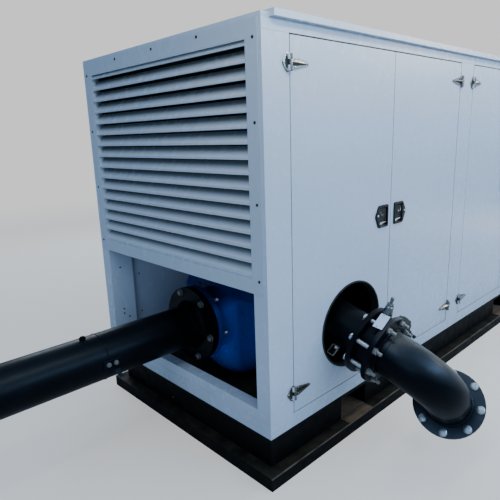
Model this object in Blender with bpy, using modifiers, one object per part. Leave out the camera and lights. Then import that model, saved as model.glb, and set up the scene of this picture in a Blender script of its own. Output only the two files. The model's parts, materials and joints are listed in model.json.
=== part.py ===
"""A booster pump in a white weatherproof housing on a black fork-lift skid.

Metres, +Z up. The origin is the centre of the skid's footprint, on the ground. The suction line
leaves the open bay at the -X end, and the doors and the discharge elbow are on the -Y side.
"""
import math

import bmesh
import bpy
from mathutils import Matrix, Vector

# GAP keeps touching pieces apart and MERGE joins doubled points. OVERLAP is how far a thin part runs
# into the one that it is fused to, ROOT the same for a thick one. A cutter runs past the face that
# it opens by CUT_MARGIN.
GAP = 0.0003
MERGE = 0.00005
OVERLAP = 0.001
ROOT = 0.005
CUT_MARGIN = 0.02

# Housing and skid
LENGTH = 3.51
WIDTH = 1.42
SKID_HEIGHT = 0.264
LEDGE_HEIGHT = 0.065
BASE_TOP = 0.331
DOOR_TOP = 1.942
EAVES = 1.985
ROOF_TOP = 2.001
LIP_TOP = 2.012
END_X = LENGTH / 2
SIDE_Y = WIDTH / 2

# Skid members
LEDGE_WIDTH = 0.110
WEB_SETBACK = 0.060
WEB_THICKNESS = 0.012
FLANGE_THICKNESS = 0.020
FLANGE_SETBACK = 0.005
DECK_TOP = 0.2003
DECK_THICKNESS = 0.010
POCKET_FROM_END = (0.593, 0.825)
POCKET_WALL = 0.006
POCKET_BOTTOM = 0.0656
CROSS_WIDTH = 0.100

# Frame of the housing
BASE_DEPTH = 0.060
POST_X = 0.150
POST_Y = 0.080
MULLION_WIDTH = 0.173
HEADER_DEPTH = 0.080
SILL_TOP = 0.384
SILL_DEPTH = 0.060
ROOF_OVERHANG = 0.025
LIP_FROM_END = 0.044
END_PANEL_DEPTH = 0.040
END_PANEL_TOP = 0.955

# Louvre panels
LOUVRE_BOTTOM = 0.925
LOUVRE_HALF_WIDTH = 0.690
LOUVRE_OPENING = (0.989, 1.916)
LOUVRE_OPENING_HALF = 0.6265
LOUVRE_SHEET = 0.003
LOUVRE_CHEEK_DEPTH = 0.045
BLADE_COUNT = 16
BLADE_PITCH = 0.0599
BLADE_HEIGHT = 0.052
BLADE_DEPTH = 0.042
BLADE_SHEET = 0.003
BLADE_RISE = 0.007
CHEEK_SHEET = 0.002

# Doors
DOOR_GAP = 0.005
SEAM_FROM_END = 0.926
DOOR_SKIN = 0.003
DOOR_THICKNESS = 0.038
DOOR_RETURN = 0.008
CUTOUT_FROM_END = 0.597
CUTOUT_HEIGHT = 0.633
CUTOUT_HALF_WIDTH = 0.236
CUTOUT_HALF_HEIGHT = 0.212
CUTOUT_SIDES = 48

# Hinges: a barrel of three knuckles on a pin, a plate on the post and a strap on the door
HINGE_HEIGHTS = (0.436, 1.836)
BARREL_HEIGHT = 0.062
PIN_OUT = 0.010
PIN_FROM_DOOR = 0.0065
PIN_RADIUS = 0.003
KNUCKLE_RADIUS = 0.007
KNUCKLE_BORE = 0.0035
KNUCKLE_HEIGHT = 0.020
ARM_REACH = 0.012
ARM_DEPTH = 0.003
PLATE_FROM_BARREL = 0.001
PLATE_WIDTH = 0.018
PLATE_HEIGHT = 0.040
PLATE_THICKNESS = 0.003
STRAP_LENGTH = 0.116
STRAP_NECK = 0.012
STRAP_SHOULDER = (0.020, 0.034)
STRAP_WIDTH = 0.044
STRAP_TIP_WIDTH = 0.012
STRAP_TIP_LENGTH = 0.006
STRAP_THICKNESS = 0.0045
BACK_STRAP_SHIFT = 0.003

# Latches
LATCH_FROM_SEAM = 0.0715
LATCH_HEIGHT = 1.141
RECESS_WIDTH = 0.074
RECESS_HEIGHT = 0.098
RECESS_DEPTH = 0.024
PADDLE_WIDTH = 0.063
PADDLE_HEIGHT = 0.077
PADDLE_THICKNESS = 0.006
PADDLE_TOP_GAP = 0.0055
PADDLE_PIN_RADIUS = 0.003

# Pump
PUMP_AXIS_HEIGHT = 0.583
CASING_RADIUS = 0.370
CASING_FRONT = 0.310
CASING_BACK = 0.785
SHOULDER = 0.090
SUCTION_FLANGE_RADIUS = 0.2025
SUCTION_JOINT = 0.149
SUCTION_BORE_DEPTH = 0.300
BLUE_FLANGE_THICKNESS = 0.030
FRONT_FACE_RADIUS = 0.230
NECK_RADIUS = 0.150
NECK_FLARE = 0.020
NECK_FLARE_ENDS = (0.010, 0.045)
PIPE_RADIUS = 0.1095
BORE_RADIUS = 0.1015
NOZZLE_RADIUS = 0.1155
PEDESTAL = (0.440, 0.660)
PEDESTAL_HALF_WIDTH = 0.240
PEDESTAL_TOP = 0.400

# Suction line, measured along X from the near end of the housing, negative outside
SPOOL_FLANGE_THICKNESS = 0.036
SPOOL_HUB_LENGTH = 0.045
SPOOL_HUB_RADIUS = 0.1315
SUCTION_WELD = -0.420
SUCTION_END = -0.920

# Discharge line: a straight axis that leaves the first door tilted downwards
DISCHARGE_FROM_END = 0.558
DISCHARGE_HEIGHT = 0.626
DISCHARGE_TILT = math.radians(15.9)
DISCHARGE_YAW = math.radians(0.9)
NOZZLE_ROOT = -0.671
NOZZLE_JOINT = -0.225
FLANGE_RADIUS = 0.170
FLANGE_THICKNESS_200 = 0.024
FLANGE_A_FACE = 0.137
VALVE_BODY_RADIUS = 0.132
VALVE_STEM_LIFT = math.radians(9.0)
VALVE_NECK_RADIUS = 0.024
VALVE_NECK_END = 0.202
GEARBOX_DEPTH = 0.058
GEARBOX_RADIUS = 0.045
GEARBOX_SIDES = 24
WORM_RADIUS = 0.018
WORM_LENGTH = 0.096
WORM_DEPTH = 0.024
WORM_OFFSET = 0.028
STUB_RADIUS = 0.009
STUB_LENGTH = 0.040
STUB_FROM_WORM = 0.062
BLEED_LEAN = math.radians(3.0)
BLEED_TOP = 0.257
FLANGE_B_FACE = 0.203
ELBOW_START = 0.260
ELBOW_RADIUS = 0.236
ELBOW_ROLL = math.radians(42.1)
ELBOW_STRAIGHT = 0.162
ELBOW_STEPS = 12

PIPE_SIDES = 28
TURN_SIDES = 40
CASING_SIDES = 48
SADDLE_SIDES = 96
ROD_SIDES = 20
KNUCKLE_SIDES = 16
PIN_SIDES = 12

# The colour, roughness and metallic value of each surface
SURFACES = {
    "housing_white": ((0.42, 0.52, 0.63, 1.0), 0.35, 0.0),
    "skid_black": ((0.012, 0.014, 0.018, 1.0), 0.45, 0.0),
    "pipe_black": ((0.012, 0.014, 0.018, 1.0), 0.30, 0.0),
    "pump_blue": ((0.010, 0.060, 0.300, 1.0), 0.30, 0.0),
    "gearbox_olive": ((0.060, 0.066, 0.050, 1.0), 0.50, 0.0),
    "hinge_bright": ((0.62, 0.62, 0.60, 1.0), 0.25, 1.0),
    "fitting_zinc": ((0.45, 0.50, 0.55, 1.0), 0.35, 1.0),
    "latch_black": ((0.015, 0.016, 0.018, 1.0), 0.40, 0.0),
}


def material(name):
    """A plain surface, made once and shared by the pieces that have it."""
    found = bpy.data.materials.get(name)
    if found:
        return found
    colour, roughness, metallic = SURFACES[name]
    made = bpy.data.materials.new(name)
    made.use_nodes = True
    surface = made.node_tree.nodes["Principled BSDF"]
    surface.inputs["Base Color"].default_value = colour
    surface.inputs["Roughness"].default_value = roughness
    surface.inputs["Metallic"].default_value = metallic
    return made


def clear_scene():
    for item in list(bpy.data.objects):
        bpy.data.objects.remove(item)


def new_collection(name):
    made = bpy.data.collections.new(name)
    bpy.context.scene.collection.children.link(made)
    return made


def from_end(distance):
    """The X of a point measured from the near end of the housing."""
    return distance - END_X


def ordered(one, other):
    """A pair of limits, the lower one first."""
    return (min(one, other), max(one, other))


def about(middle, size):
    """The limits of a span about its middle."""
    return (middle - size / 2, middle + size / 2)


def finish(name, mesh, surface, origin=(0, 0, 0)):
    """Puts a mesh into the scene as one named piece."""
    item = bpy.data.objects.new(name, mesh)
    item.location = origin
    mesh.materials.append(surface)
    PARTS.objects.link(item)
    return item


def hang(item, carrier):
    """Lets a piece move with the one that carries it, without moving it now."""
    item.parent = carrier
    item.matrix_parent_inverse = Matrix.Translation(carrier.location).inverted()


def as_tool(item):
    """Marks a helper solid so that it is neither shown nor built."""
    PARTS.objects.unlink(item)
    TOOLS.objects.link(item)
    item.hide_render = True
    item.display_type = "WIRE"
    return item


def boxes(name, spans, surface, origin=(0, 0, 0)):
    """One object holding boxes, each given as three pairs of limits in world metres."""
    work = bmesh.new()
    for span_x, span_y, span_z in spans:
        low = Vector((span_x[0], span_y[0], span_z[0])) - Vector(origin)
        high = Vector((span_x[1], span_y[1], span_z[1])) - Vector(origin)
        place = Matrix.Translation((low + high) / 2) @ Matrix.Diagonal((*(high - low), 1.0))
        bmesh.ops.create_cube(work, size=1.0, matrix=place)
    mesh = bpy.data.meshes.new(name)
    work.to_mesh(mesh)
    work.free()
    return finish(name, mesh, surface, origin)


def combine(target, tool, operation="UNION"):
    """Joins a tool to a piece, or cuts it away."""
    step = target.modifiers.new(operation.lower(), "BOOLEAN")
    step.operation = operation
    step.object = as_tool(tool)
    step.use_self = operation == "UNION"
    return target


def welded_boxes(name, spans, surface, origin=(0, 0, 0)):
    """Overlapping boxes fused into one solid."""
    item = boxes(name, spans[:1], surface, origin)
    return combine(item, boxes(name + "_more", spans[1:], surface, origin))


def turned(name, outline, surface, place, axis, closed=True, steps=TURN_SIDES):
    """A turned solid. The outline is (radius, height) pairs that run down its outer side."""
    mesh = bpy.data.meshes.new(name)
    points = [(radius, 0.0, height) for radius, height in outline]
    edges = [(index, index + 1) for index in range(len(points) - 1)]
    if closed:
        edges.append((len(points) - 1, 0))
    mesh.from_pydata(points, edges, [])
    item = finish(name, mesh, surface, place)
    item.rotation_mode = "QUATERNION"
    item.rotation_quaternion = Vector(axis).to_track_quat("Z", "Y")
    spin = item.modifiers.new("turn", "SCREW")
    spin.axis = "Z"
    spin.steps = steps
    spin.render_steps = steps
    spin.use_merge_vertices = True
    spin.merge_threshold = MERGE
    return item


def ring(outer, inner, low, high):
    """The outline of a washer shape between two heights."""
    return [(outer, high), (outer, low), (inner, low), (inner, high)]


def tube(name, points, radius, surface, sides=PIPE_SIDES):
    """A solid round bar along a list of points, as a mesh."""
    curve = bpy.data.curves.new(name, "CURVE")
    curve.dimensions = "3D"
    curve.bevel_depth = radius
    curve.bevel_resolution = sides // 2 - 2
    curve.use_fill_caps = True
    line = curve.splines.new("POLY")
    line.points.add(len(points) - 1)
    for spot, place in zip(line.points, points):
        spot.co = (*place, 1.0)
    holder = bpy.data.objects.new(name + "_route", curve)
    return curve_to_piece(name, holder, surface)


def curve_to_piece(name, holder, surface, origin=(0, 0, 0)):
    """Turns a curve object into a mesh piece with welded caps, and removes the curve."""
    PARTS.objects.link(holder)
    bpy.context.view_layer.update()
    evaluated = holder.evaluated_get(bpy.context.evaluated_depsgraph_get())
    mesh = bpy.data.meshes.new_from_object(evaluated)
    mesh.materials.clear()
    mesh.name = name
    work = bmesh.new()
    work.from_mesh(mesh)
    bmesh.ops.remove_doubles(work, verts=work.verts, dist=MERGE)
    bmesh.ops.recalc_face_normals(work, faces=work.faces)
    work.to_mesh(mesh)
    work.free()
    place = holder.matrix_world.copy()
    bpy.data.objects.remove(holder)
    item = finish(name, mesh, surface, origin)
    item.matrix_world = place
    return item


def plate(name, outline, thickness, surface, place, turn):
    """A flat outline with a thickness, turned from the XY plane into its place."""
    curve = bpy.data.curves.new(name, "CURVE")
    curve.dimensions = "2D"
    curve.fill_mode = "BOTH"
    curve.extrude = thickness / 2
    line = curve.splines.new("POLY")
    line.points.add(len(outline) - 1)
    for spot, (across, up) in zip(line.points, outline):
        spot.co = (across, up, 0.0, 1.0)
    line.use_cyclic_u = True
    holder = bpy.data.objects.new(name + "_outline", curve)
    holder.matrix_world = Matrix.Translation(place) @ turn
    return curve_to_piece(name, holder, surface)


def cylinder(name, radius, length, centre, axis, surface, sides):
    """A plain round bar about its middle."""
    work = bmesh.new()
    bmesh.ops.create_cone(
        work, cap_ends=True, segments=sides, radius1=radius, radius2=radius, depth=length
    )
    mesh = bpy.data.meshes.new(name)
    work.to_mesh(mesh)
    work.free()
    item = finish(name, mesh, surface, centre)
    item.rotation_mode = "QUATERNION"
    item.rotation_quaternion = Vector(axis).to_track_quat("Z", "Y")
    return item


def skid_side_rail(name, side):
    """A heavy bottom member with a ledge, a set-back web with two fork openings, a top flange."""
    black = material("skid_black")
    face = side * SIDE_Y

    def across(near, far):
        return ordered(face - side * near, face - side * far)

    web_x = END_X - WEB_SETBACK
    flange_x = END_X - FLANGE_SETBACK
    spans = [
        ((-END_X, END_X), across(0.0, LEDGE_WIDTH), (0.0, LEDGE_HEIGHT)),
        (
            (-web_x, web_x),
            across(WEB_SETBACK, WEB_SETBACK + WEB_THICKNESS),
            (LEDGE_HEIGHT - ROOT, SKID_HEIGHT - ROOT),
        ),
        (
            (-flange_x, flange_x),
            across(FLANGE_SETBACK, LEDGE_WIDTH),
            (SKID_HEIGHT - FLANGE_THICKNESS, SKID_HEIGHT),
        ),
    ]
    rail = welded_boxes(name, spans, black)
    openings = []
    for span in pocket_spans():
        openings.append(
            (
                (span[0] - GAP, span[1] + GAP),
                across(WEB_SETBACK - CUT_MARGIN, LEDGE_WIDTH + CUT_MARGIN),
                (LEDGE_HEIGHT + GAP, DECK_TOP - DECK_THICKNESS),
            )
        )
    return combine(rail, boxes(name + "_forks", openings, black), "DIFFERENCE")


def pocket_spans():
    """The outer limits along X of the two fork pockets."""
    near = tuple(from_end(distance) for distance in POCKET_FROM_END)
    return [near, (-near[1], -near[0])]


def skid_end_beam(name, side):
    """The end of the skid, with the same ledge and set-back web as its sides."""
    black = material("skid_black")
    face = side * END_X

    def along(near, far):
        return ordered(face - side * near, face - side * far)

    between = SIDE_Y - LEDGE_WIDTH - GAP
    web_half = SIDE_Y - WEB_SETBACK - WEB_THICKNESS - GAP
    spans = [
        (along(0.0, LEDGE_WIDTH), (-between, between), (0.0, LEDGE_HEIGHT)),
        (
            along(WEB_SETBACK, WEB_SETBACK + WEB_THICKNESS),
            (-between, between),
            (LEDGE_HEIGHT - ROOT, SKID_HEIGHT - ROOT),
        ),
        (
            along(WEB_SETBACK, WEB_SETBACK + WEB_THICKNESS),
            (-web_half, web_half),
            (LEDGE_HEIGHT + GAP, SKID_HEIGHT - FLANGE_THICKNESS - GAP),
        ),
        (
            along(FLANGE_SETBACK, LEDGE_WIDTH),
            (-between, between),
            (SKID_HEIGHT - FLANGE_THICKNESS, SKID_HEIGHT),
        ),
    ]
    return welded_boxes(name, spans, black)


def fork_pocket(name, span):
    """A rectangular tube from side to side that the forks slide into."""
    black = material("skid_black")
    top = DECK_TOP - DECK_THICKNESS - GAP
    mouth = SIDE_Y - WEB_SETBACK
    tube_item = boxes(name, [(span, (-mouth, mouth), (POCKET_BOTTOM, top))], black)
    inside = (
        (span[0] + POCKET_WALL, span[1] - POCKET_WALL),
        (-SIDE_Y, SIDE_Y),
        (POCKET_BOTTOM + POCKET_WALL, top - POCKET_WALL),
    )
    return combine(tube_item, boxes(name + "_inside", [inside], black), "DIFFERENCE")


def skid():
    black = material("skid_black")
    skid_side_rail("skid_side_rail_front", -1)
    skid_side_rail("skid_side_rail_back", 1)
    skid_end_beam("skid_end_beam_near", -1)
    skid_end_beam("skid_end_beam_far", 1)
    for name, span in zip(("fork_pocket_near", "fork_pocket_far"), pocket_spans()):
        fork_pocket(name, span)
    deck_x = END_X - WEB_SETBACK - WEB_THICKNESS - GAP
    deck_y = SIDE_Y - WEB_SETBACK - WEB_THICKNESS - GAP
    deck_bottom = DECK_TOP - DECK_THICKNESS
    boxes("skid_deck", [((-deck_x, deck_x), (-deck_y, deck_y), (deck_bottom, DECK_TOP))], black)
    half = CROSS_WIDTH / 2
    cross_y = SIDE_Y - LEDGE_WIDTH - GAP
    boxes("skid_cross_member", [((-half, half), (-cross_y, cross_y), (0.0, deck_bottom - GAP))], black)


def base_rails():
    """The white ring that the housing stands on."""
    white = material("housing_white")
    height = (SKID_HEIGHT + GAP, BASE_TOP)
    inner_y = SIDE_Y - BASE_DEPTH
    inner_x = END_X - BASE_DEPTH
    boxes("base_rail_front", [((-END_X, END_X), (-SIDE_Y, -inner_y), height)], white)
    boxes("base_rail_back", [((-END_X, END_X), (inner_y, SIDE_Y), height)], white)
    between = (-inner_y + GAP, inner_y - GAP)
    boxes("base_rail_near", [((-END_X, -inner_x), between, height)], white)
    boxes("base_rail_far", [((inner_x, END_X), between, height)], white)


def hinge_pin_x(edge, outward):
    """The X of a hinge pin beside a door edge. Outward points from the door to the post."""
    return edge + outward * PIN_FROM_DOOR


def add_fixed_hinge(post, name, edge, outward, height):
    """Fuses a hinge's plate, its two outer knuckles and its pin to a post."""
    bright = material("hinge_bright")
    pin_x = hinge_pin_x(edge, outward)
    pin_y = -SIDE_Y - PIN_OUT
    into_post = -SIDE_Y + OVERLAP
    near = pin_x + outward * (KNUCKLE_RADIUS + PLATE_FROM_BARREL)
    plate_x = ordered(near, near + outward * PLATE_WIDTH)
    spans = [(plate_x, (-SIDE_Y - PLATE_THICKNESS, into_post), about(height, PLATE_HEIGHT))]
    clear = KNUCKLE_HEIGHT / 2 + GAP * 2
    length = BARREL_HEIGHT / 2 - clear
    middles = (height - clear - length / 2, height + clear + length / 2)
    arm_x = ordered(pin_x, pin_x + outward * ARM_REACH)
    for middle in middles:
        spans.append((arm_x, (pin_y - ARM_DEPTH, into_post), about(middle, length)))
    combine(post, boxes(name, spans, bright))
    centre = (pin_x, pin_y, height)
    pin_length = BARREL_HEIGHT - 2 * OVERLAP
    combine(post, cylinder(name + "_pin", PIN_RADIUS, pin_length, centre, (0, 0, 1), bright, PIN_SIDES))
    for index, middle in enumerate(middles):
        centre = (pin_x, pin_y, middle)
        knuckle = cylinder(
            f"{name}_knuckle{index}", KNUCKLE_RADIUS, length, centre, (0, 0, 1), bright, KNUCKLE_SIDES
        )
        combine(post, knuckle)


def posts():
    """Corner posts and the two middle posts, with the fixed halves of the front hinges."""
    white = material("housing_white")
    height = (BASE_TOP + GAP, EAVES - GAP)
    corners = {}
    for end, sign_x in (("near", -1), ("far", 1)):
        for side, sign_y in (("front", -1), ("back", 1)):
            span_x = ordered(sign_x * END_X, sign_x * (END_X - POST_X))
            span_y = ordered(sign_y * SIDE_Y, sign_y * (SIDE_Y - POST_Y))
            name = f"corner_post_{side}_{end}"
            corners[name] = boxes(name, [(span_x, span_y, height)], white)
    half = MULLION_WIDTH / 2
    short = (BASE_TOP + GAP, DOOR_TOP)
    mullion = boxes("mullion_front", [((-half, half), (-SIDE_Y, -SIDE_Y + POST_Y), short)], white)
    boxes("mullion_back", [((-half, half), (SIDE_Y - POST_Y, SIDE_Y), short)], white)
    post_edge = END_X - POST_X - DOOR_GAP
    mullion_edge = half + DOOR_GAP
    for index, level in enumerate(HINGE_HEIGHTS):
        near = corners["corner_post_front_near"]
        far = corners["corner_post_front_far"]
        add_fixed_hinge(near, f"fixed_hinge_1_{index}", -post_edge, -1, level)
        add_fixed_hinge(mullion, f"fixed_hinge_2_{index}", -mullion_edge, 1, level)
        add_fixed_hinge(mullion, f"fixed_hinge_3_{index}", mullion_edge, -1, level)
        add_fixed_hinge(far, f"fixed_hinge_4_{index}", post_edge, 1, level)


def headers_and_roof():
    white = material("housing_white")
    span_x = (-(END_X - POST_X) + GAP, END_X - POST_X - GAP)
    height = (DOOR_TOP + GAP, EAVES - GAP)
    boxes("header_front", [(span_x, (-SIDE_Y, -SIDE_Y + HEADER_DEPTH), height)], white)
    boxes("header_back", [(span_x, (SIDE_Y - HEADER_DEPTH, SIDE_Y), height)], white)
    lip_x = END_X - LIP_FROM_END
    lip_y = SIDE_Y + ROOF_OVERHANG
    roof = [
        ((-END_X, END_X), (-SIDE_Y, SIDE_Y), (EAVES, ROOF_TOP)),
        ((-lip_x, lip_x), (-lip_y, lip_y), (EAVES + OVERLAP, LIP_TOP)),
    ]
    welded_boxes("roof", roof, white)


def louvre_panel(name, side):
    """A framed sheet over the upper end, with blades that slope down and outwards."""
    white = material("housing_white")
    inner_face = END_X + GAP
    outer_face = inner_face + LOUVRE_SHEET
    low, high = LOUVRE_OPENING
    half = LOUVRE_OPENING_HALF

    def along(near, far):
        return ordered(side * near, side * far)

    sheet_x = along(inner_face, outer_face)
    sheet_y = (-LOUVRE_HALF_WIDTH, LOUVRE_HALF_WIDTH)
    panel = boxes(name, [(sheet_x, sheet_y, (LOUVRE_BOTTOM, EAVES - GAP))], white)
    opening = (along(END_X - CUT_MARGIN, END_X + CUT_MARGIN), (-half, half), (low, high))
    combine(panel, boxes(name + "_opening", [opening], white), "DIFFERENCE")
    cheek_x = along(END_X - LOUVRE_CHEEK_DEPTH, outer_face - OVERLAP)
    cheek_z = (low - OVERLAP, high + OVERLAP)
    spans = [
        (cheek_x, (-half - OVERLAP, -half + CHEEK_SHEET), cheek_z),
        (cheek_x, (half - CHEEK_SHEET, half + OVERLAP), cheek_z),
    ]
    combine(panel, boxes(name + "_cheeks", spans, white))
    return combine(panel, louvre_blades(name + "_blades", side, half - OVERLAP / 2, outer_face))


def louvre_blades(name, side, half, outer_face):
    """Sloping blades at an even pitch, as one helper object. The top one reaches behind the sheet."""
    white = material("housing_white")
    low = LOUVRE_OPENING[0] + BLADE_RISE
    slope = math.atan2(BLADE_HEIGHT, BLADE_DEPTH)
    length = math.hypot(BLADE_HEIGHT, BLADE_DEPTH)
    middle_x = side * (outer_face - CHEEK_SHEET - BLADE_DEPTH / 2)
    work = bmesh.new()
    for index in range(BLADE_COUNT):
        height = low + BLADE_PITCH * index + BLADE_HEIGHT / 2
        place = Matrix.Translation((middle_x, 0.0, height))
        lean = Matrix.Rotation(side * slope, 4, "Y")
        size = Matrix.Diagonal((length, 2 * half, BLADE_SHEET, 1.0))
        bmesh.ops.create_cube(work, size=1.0, matrix=place @ lean @ size)
    mesh = bpy.data.meshes.new(name)
    work.to_mesh(mesh)
    work.free()
    return finish(name, mesh, white)


def ends():
    white = material("housing_white")
    louvre_panel("louvre_panel_near", -1)
    louvre_panel("louvre_panel_far", 1)
    half = SIDE_Y - POST_Y - GAP
    sill = ((-END_X, -END_X + SILL_DEPTH), (-half, half), (BASE_TOP + GAP, SILL_TOP))
    boxes("end_sill_near", [sill], white)
    panel = ((END_X - END_PANEL_DEPTH, END_X), (-half, half), (BASE_TOP + GAP, END_PANEL_TOP))
    boxes("end_panel_far", [panel], white)


def door_spans():
    """The limits along X of the four door leaves, from the near end to the far end."""
    post = END_X - POST_X - DOOR_GAP
    middle = MULLION_WIDTH / 2 + DOOR_GAP
    seam = -from_end(SEAM_FROM_END)
    near_pair = [(-post, -seam - DOOR_GAP / 2), (-seam + DOOR_GAP / 2, -middle)]
    far_pair = [(-high, -low) for low, high in reversed(near_pair)]
    return near_pair + far_pair


def door_leaf(name, span, side, origin):
    """A folded leaf: a skin with a body behind it that is set back at its edges."""
    white = material("housing_white")
    face = side * SIDE_Y

    def across(near, far):
        return ordered(face - side * near, face - side * far)

    height = (BASE_TOP + DOOR_GAP, DOOR_TOP - DOOR_GAP)
    spans = [
        (span, across(0.0, DOOR_SKIN), height),
        (
            (span[0] + DOOR_RETURN, span[1] - DOOR_RETURN),
            across(DOOR_SKIN - OVERLAP, DOOR_THICKNESS),
            (height[0] + DOOR_RETURN, height[1] - DOOR_RETURN),
        ),
    ]
    return welded_boxes(name, spans, white, origin)


def latch_centre(span, hinge_sign):
    """The X of a latch, measured from the edge that meets the other leaf."""
    return span[1] - LATCH_FROM_SEAM if hinge_sign < 0 else span[0] + LATCH_FROM_SEAM


def cut_latch_recess(door, name, centre_x, side):
    black = material("latch_black")
    face = side * SIDE_Y
    span = (
        about(centre_x, RECESS_WIDTH),
        ordered(face + side * CUT_MARGIN, face - side * RECESS_DEPTH),
        about(LATCH_HEIGHT, RECESS_HEIGHT),
    )
    return combine(door, boxes(name, [span], black), "DIFFERENCE")


def latch_paddle(name, centre_x):
    """A flush paddle on a cross pin at its upper edge."""
    black = material("latch_black")
    top = LATCH_HEIGHT + RECESS_HEIGHT / 2 - PADDLE_TOP_GAP
    pivot = (centre_x, -SIDE_Y + PADDLE_THICKNESS / 2, top - PADDLE_THICKNESS / 2)
    body = (
        about(centre_x, PADDLE_WIDTH),
        (-SIDE_Y, -SIDE_Y + PADDLE_THICKNESS),
        (top - PADDLE_HEIGHT, top),
    )
    paddle = boxes(name, [body], black, pivot)
    reach = RECESS_WIDTH - 2 * GAP
    pin = cylinder(name + "_pin", PADDLE_PIN_RADIUS, reach, pivot, (1, 0, 0), black, PIN_SIDES)
    return combine(paddle, pin)


def strap_outline(inward):
    """A strap that widens beyond its knuckle and tapers to a point."""
    near, far = STRAP_SHOULDER
    upper = [
        (OVERLAP, KNUCKLE_HEIGHT / 2),
        (STRAP_NECK, KNUCKLE_HEIGHT / 2),
        (near, STRAP_WIDTH / 2),
        (far, STRAP_WIDTH / 2),
        (STRAP_LENGTH - STRAP_TIP_LENGTH, STRAP_TIP_WIDTH / 2),
    ]
    lower = [(along, -up) for along, up in upper]
    outline = lower + [(STRAP_LENGTH, 0.0)] + upper[::-1]
    return [(inward * along, up) for along, up in outline]


def hinge_leaf(name, edge, outward, height):
    """The tapered strap and middle knuckle that a door carries."""
    bright = material("hinge_bright")
    pin_x = hinge_pin_x(edge, outward)
    pin_y = -SIDE_Y - PIN_OUT
    place = Vector((pin_x, -SIDE_Y - GAP - STRAP_THICKNESS / 2, height))
    upright = Matrix.Rotation(math.radians(90), 4, "X")
    leaf = plate(name, strap_outline(-outward), STRAP_THICKNESS, bright, place, upright)
    centre = (pin_x, pin_y, height)
    knuckle = cylinder(
        name + "_knuckle", KNUCKLE_RADIUS, KNUCKLE_HEIGHT, centre, (0, 0, 1), bright, KNUCKLE_SIDES
    )
    combine(leaf, knuckle)
    bore_length = KNUCKLE_HEIGHT + 2 * CUT_MARGIN
    bore = cylinder(name + "_bore", KNUCKLE_BORE, bore_length, centre, (0, 0, 1), bright, KNUCKLE_SIDES)
    return combine(leaf, bore, "DIFFERENCE")


def pipe_cutout(name):
    """The oval bar that cuts the opening for the discharge line."""
    place = Matrix.Translation((from_end(CUTOUT_FROM_END), -SIDE_Y, CUTOUT_HEIGHT))
    upright = Matrix.Rotation(math.radians(90), 4, "X")
    depth = 2 * (DOOR_THICKNESS + CUT_MARGIN)
    oval = Matrix.Diagonal((CUTOUT_HALF_WIDTH, CUTOUT_HALF_HEIGHT, depth, 1.0))
    work = bmesh.new()
    bmesh.ops.create_cone(
        work,
        cap_ends=True,
        segments=CUTOUT_SIDES,
        radius1=1.0,
        radius2=1.0,
        depth=1.0,
        matrix=place @ upright @ oval,
    )
    mesh = bpy.data.meshes.new(name)
    work.to_mesh(mesh)
    work.free()
    return finish(name, mesh, material("latch_black"))


def front_doors():
    """Four leaves in two pairs. The outer leaves hang on the corners, the inner on the mullion."""
    for number, span in enumerate(door_spans(), start=1):
        hinge_sign = -1 if number in (1, 3) else 1
        edge = span[0] if hinge_sign < 0 else span[1]
        pin = (hinge_pin_x(edge, hinge_sign), -SIDE_Y - PIN_OUT, BASE_TOP)
        name = f"door_{number}"
        door = door_leaf(name, span, -1, pin)
        centre_x = latch_centre(span, hinge_sign)
        cut_latch_recess(door, name + "_recess", centre_x, -1)
        hang(latch_paddle(name + "_latch_paddle", centre_x), door)
        if number == 1:
            combine(door, pipe_cutout(name + "_cutout"), "DIFFERENCE")
        for level, height in zip(("lower", "upper"), HINGE_HEIGHTS):
            hang(hinge_leaf(f"{name}_hinge_{level}", edge, hinge_sign, height), door)


def closed_hinge(door, name, edge, outward, height):
    """A whole hinge fused to a back leaf: its strap, its barrel and the plate against the post."""
    bright = material("hinge_bright")
    pin_x = hinge_pin_x(edge, outward)
    strap_x = pin_x - outward * BACK_STRAP_SHIFT
    place = Vector((strap_x, SIDE_Y - OVERLAP + STRAP_THICKNESS / 2, height))
    upright = Matrix.Rotation(math.radians(90), 4, "X")
    combine(door, plate(name, strap_outline(-outward), STRAP_THICKNESS, bright, place, upright))
    plate_x = ordered(pin_x, pin_x + outward * (KNUCKLE_RADIUS + PLATE_WIDTH))
    face = SIDE_Y + GAP
    backing = [(plate_x, (face, face + PLATE_THICKNESS), about(height, PLATE_HEIGHT))]
    combine(door, boxes(name + "_plate", backing, bright))
    centre = (pin_x, SIDE_Y + PIN_OUT, height)
    radius = PIN_OUT - GAP * 2
    barrel = cylinder(name + "_barrel", radius, BARREL_HEIGHT, centre, (0, 0, 1), bright, KNUCKLE_SIDES)
    return combine(door, barrel)


def back_doors():
    """The hidden side repeats the four leaves, closed."""
    for number, span in enumerate(door_spans(), start=1):
        hinge_sign = -1 if number in (1, 3) else 1
        edge = span[0] if hinge_sign < 0 else span[1]
        name = f"back_door_{number}"
        door = door_leaf(name, span, 1, (0, 0, 0))
        cut_latch_recess(door, name + "_recess", latch_centre(span, hinge_sign), 1)
        for level, height in zip(("lower", "upper"), HINGE_HEIGHTS):
            closed_hinge(door, f"{name}_hinge_{level}", edge, hinge_sign, height)


def discharge_axis():
    """The origin and unit directions of the straight discharge line: out, sideways, up."""
    out = Vector(
        (
            math.sin(DISCHARGE_YAW) * math.cos(DISCHARGE_TILT),
            -math.cos(DISCHARGE_YAW) * math.cos(DISCHARGE_TILT),
            -math.sin(DISCHARGE_TILT),
        )
    )
    sideways = Vector((0, 0, 1)).cross(out).normalized()
    upwards = out.cross(sideways)
    origin = Vector((from_end(DISCHARGE_FROM_END), -SIDE_Y, DISCHARGE_HEIGHT))
    return origin, out, sideways, upwards


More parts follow.
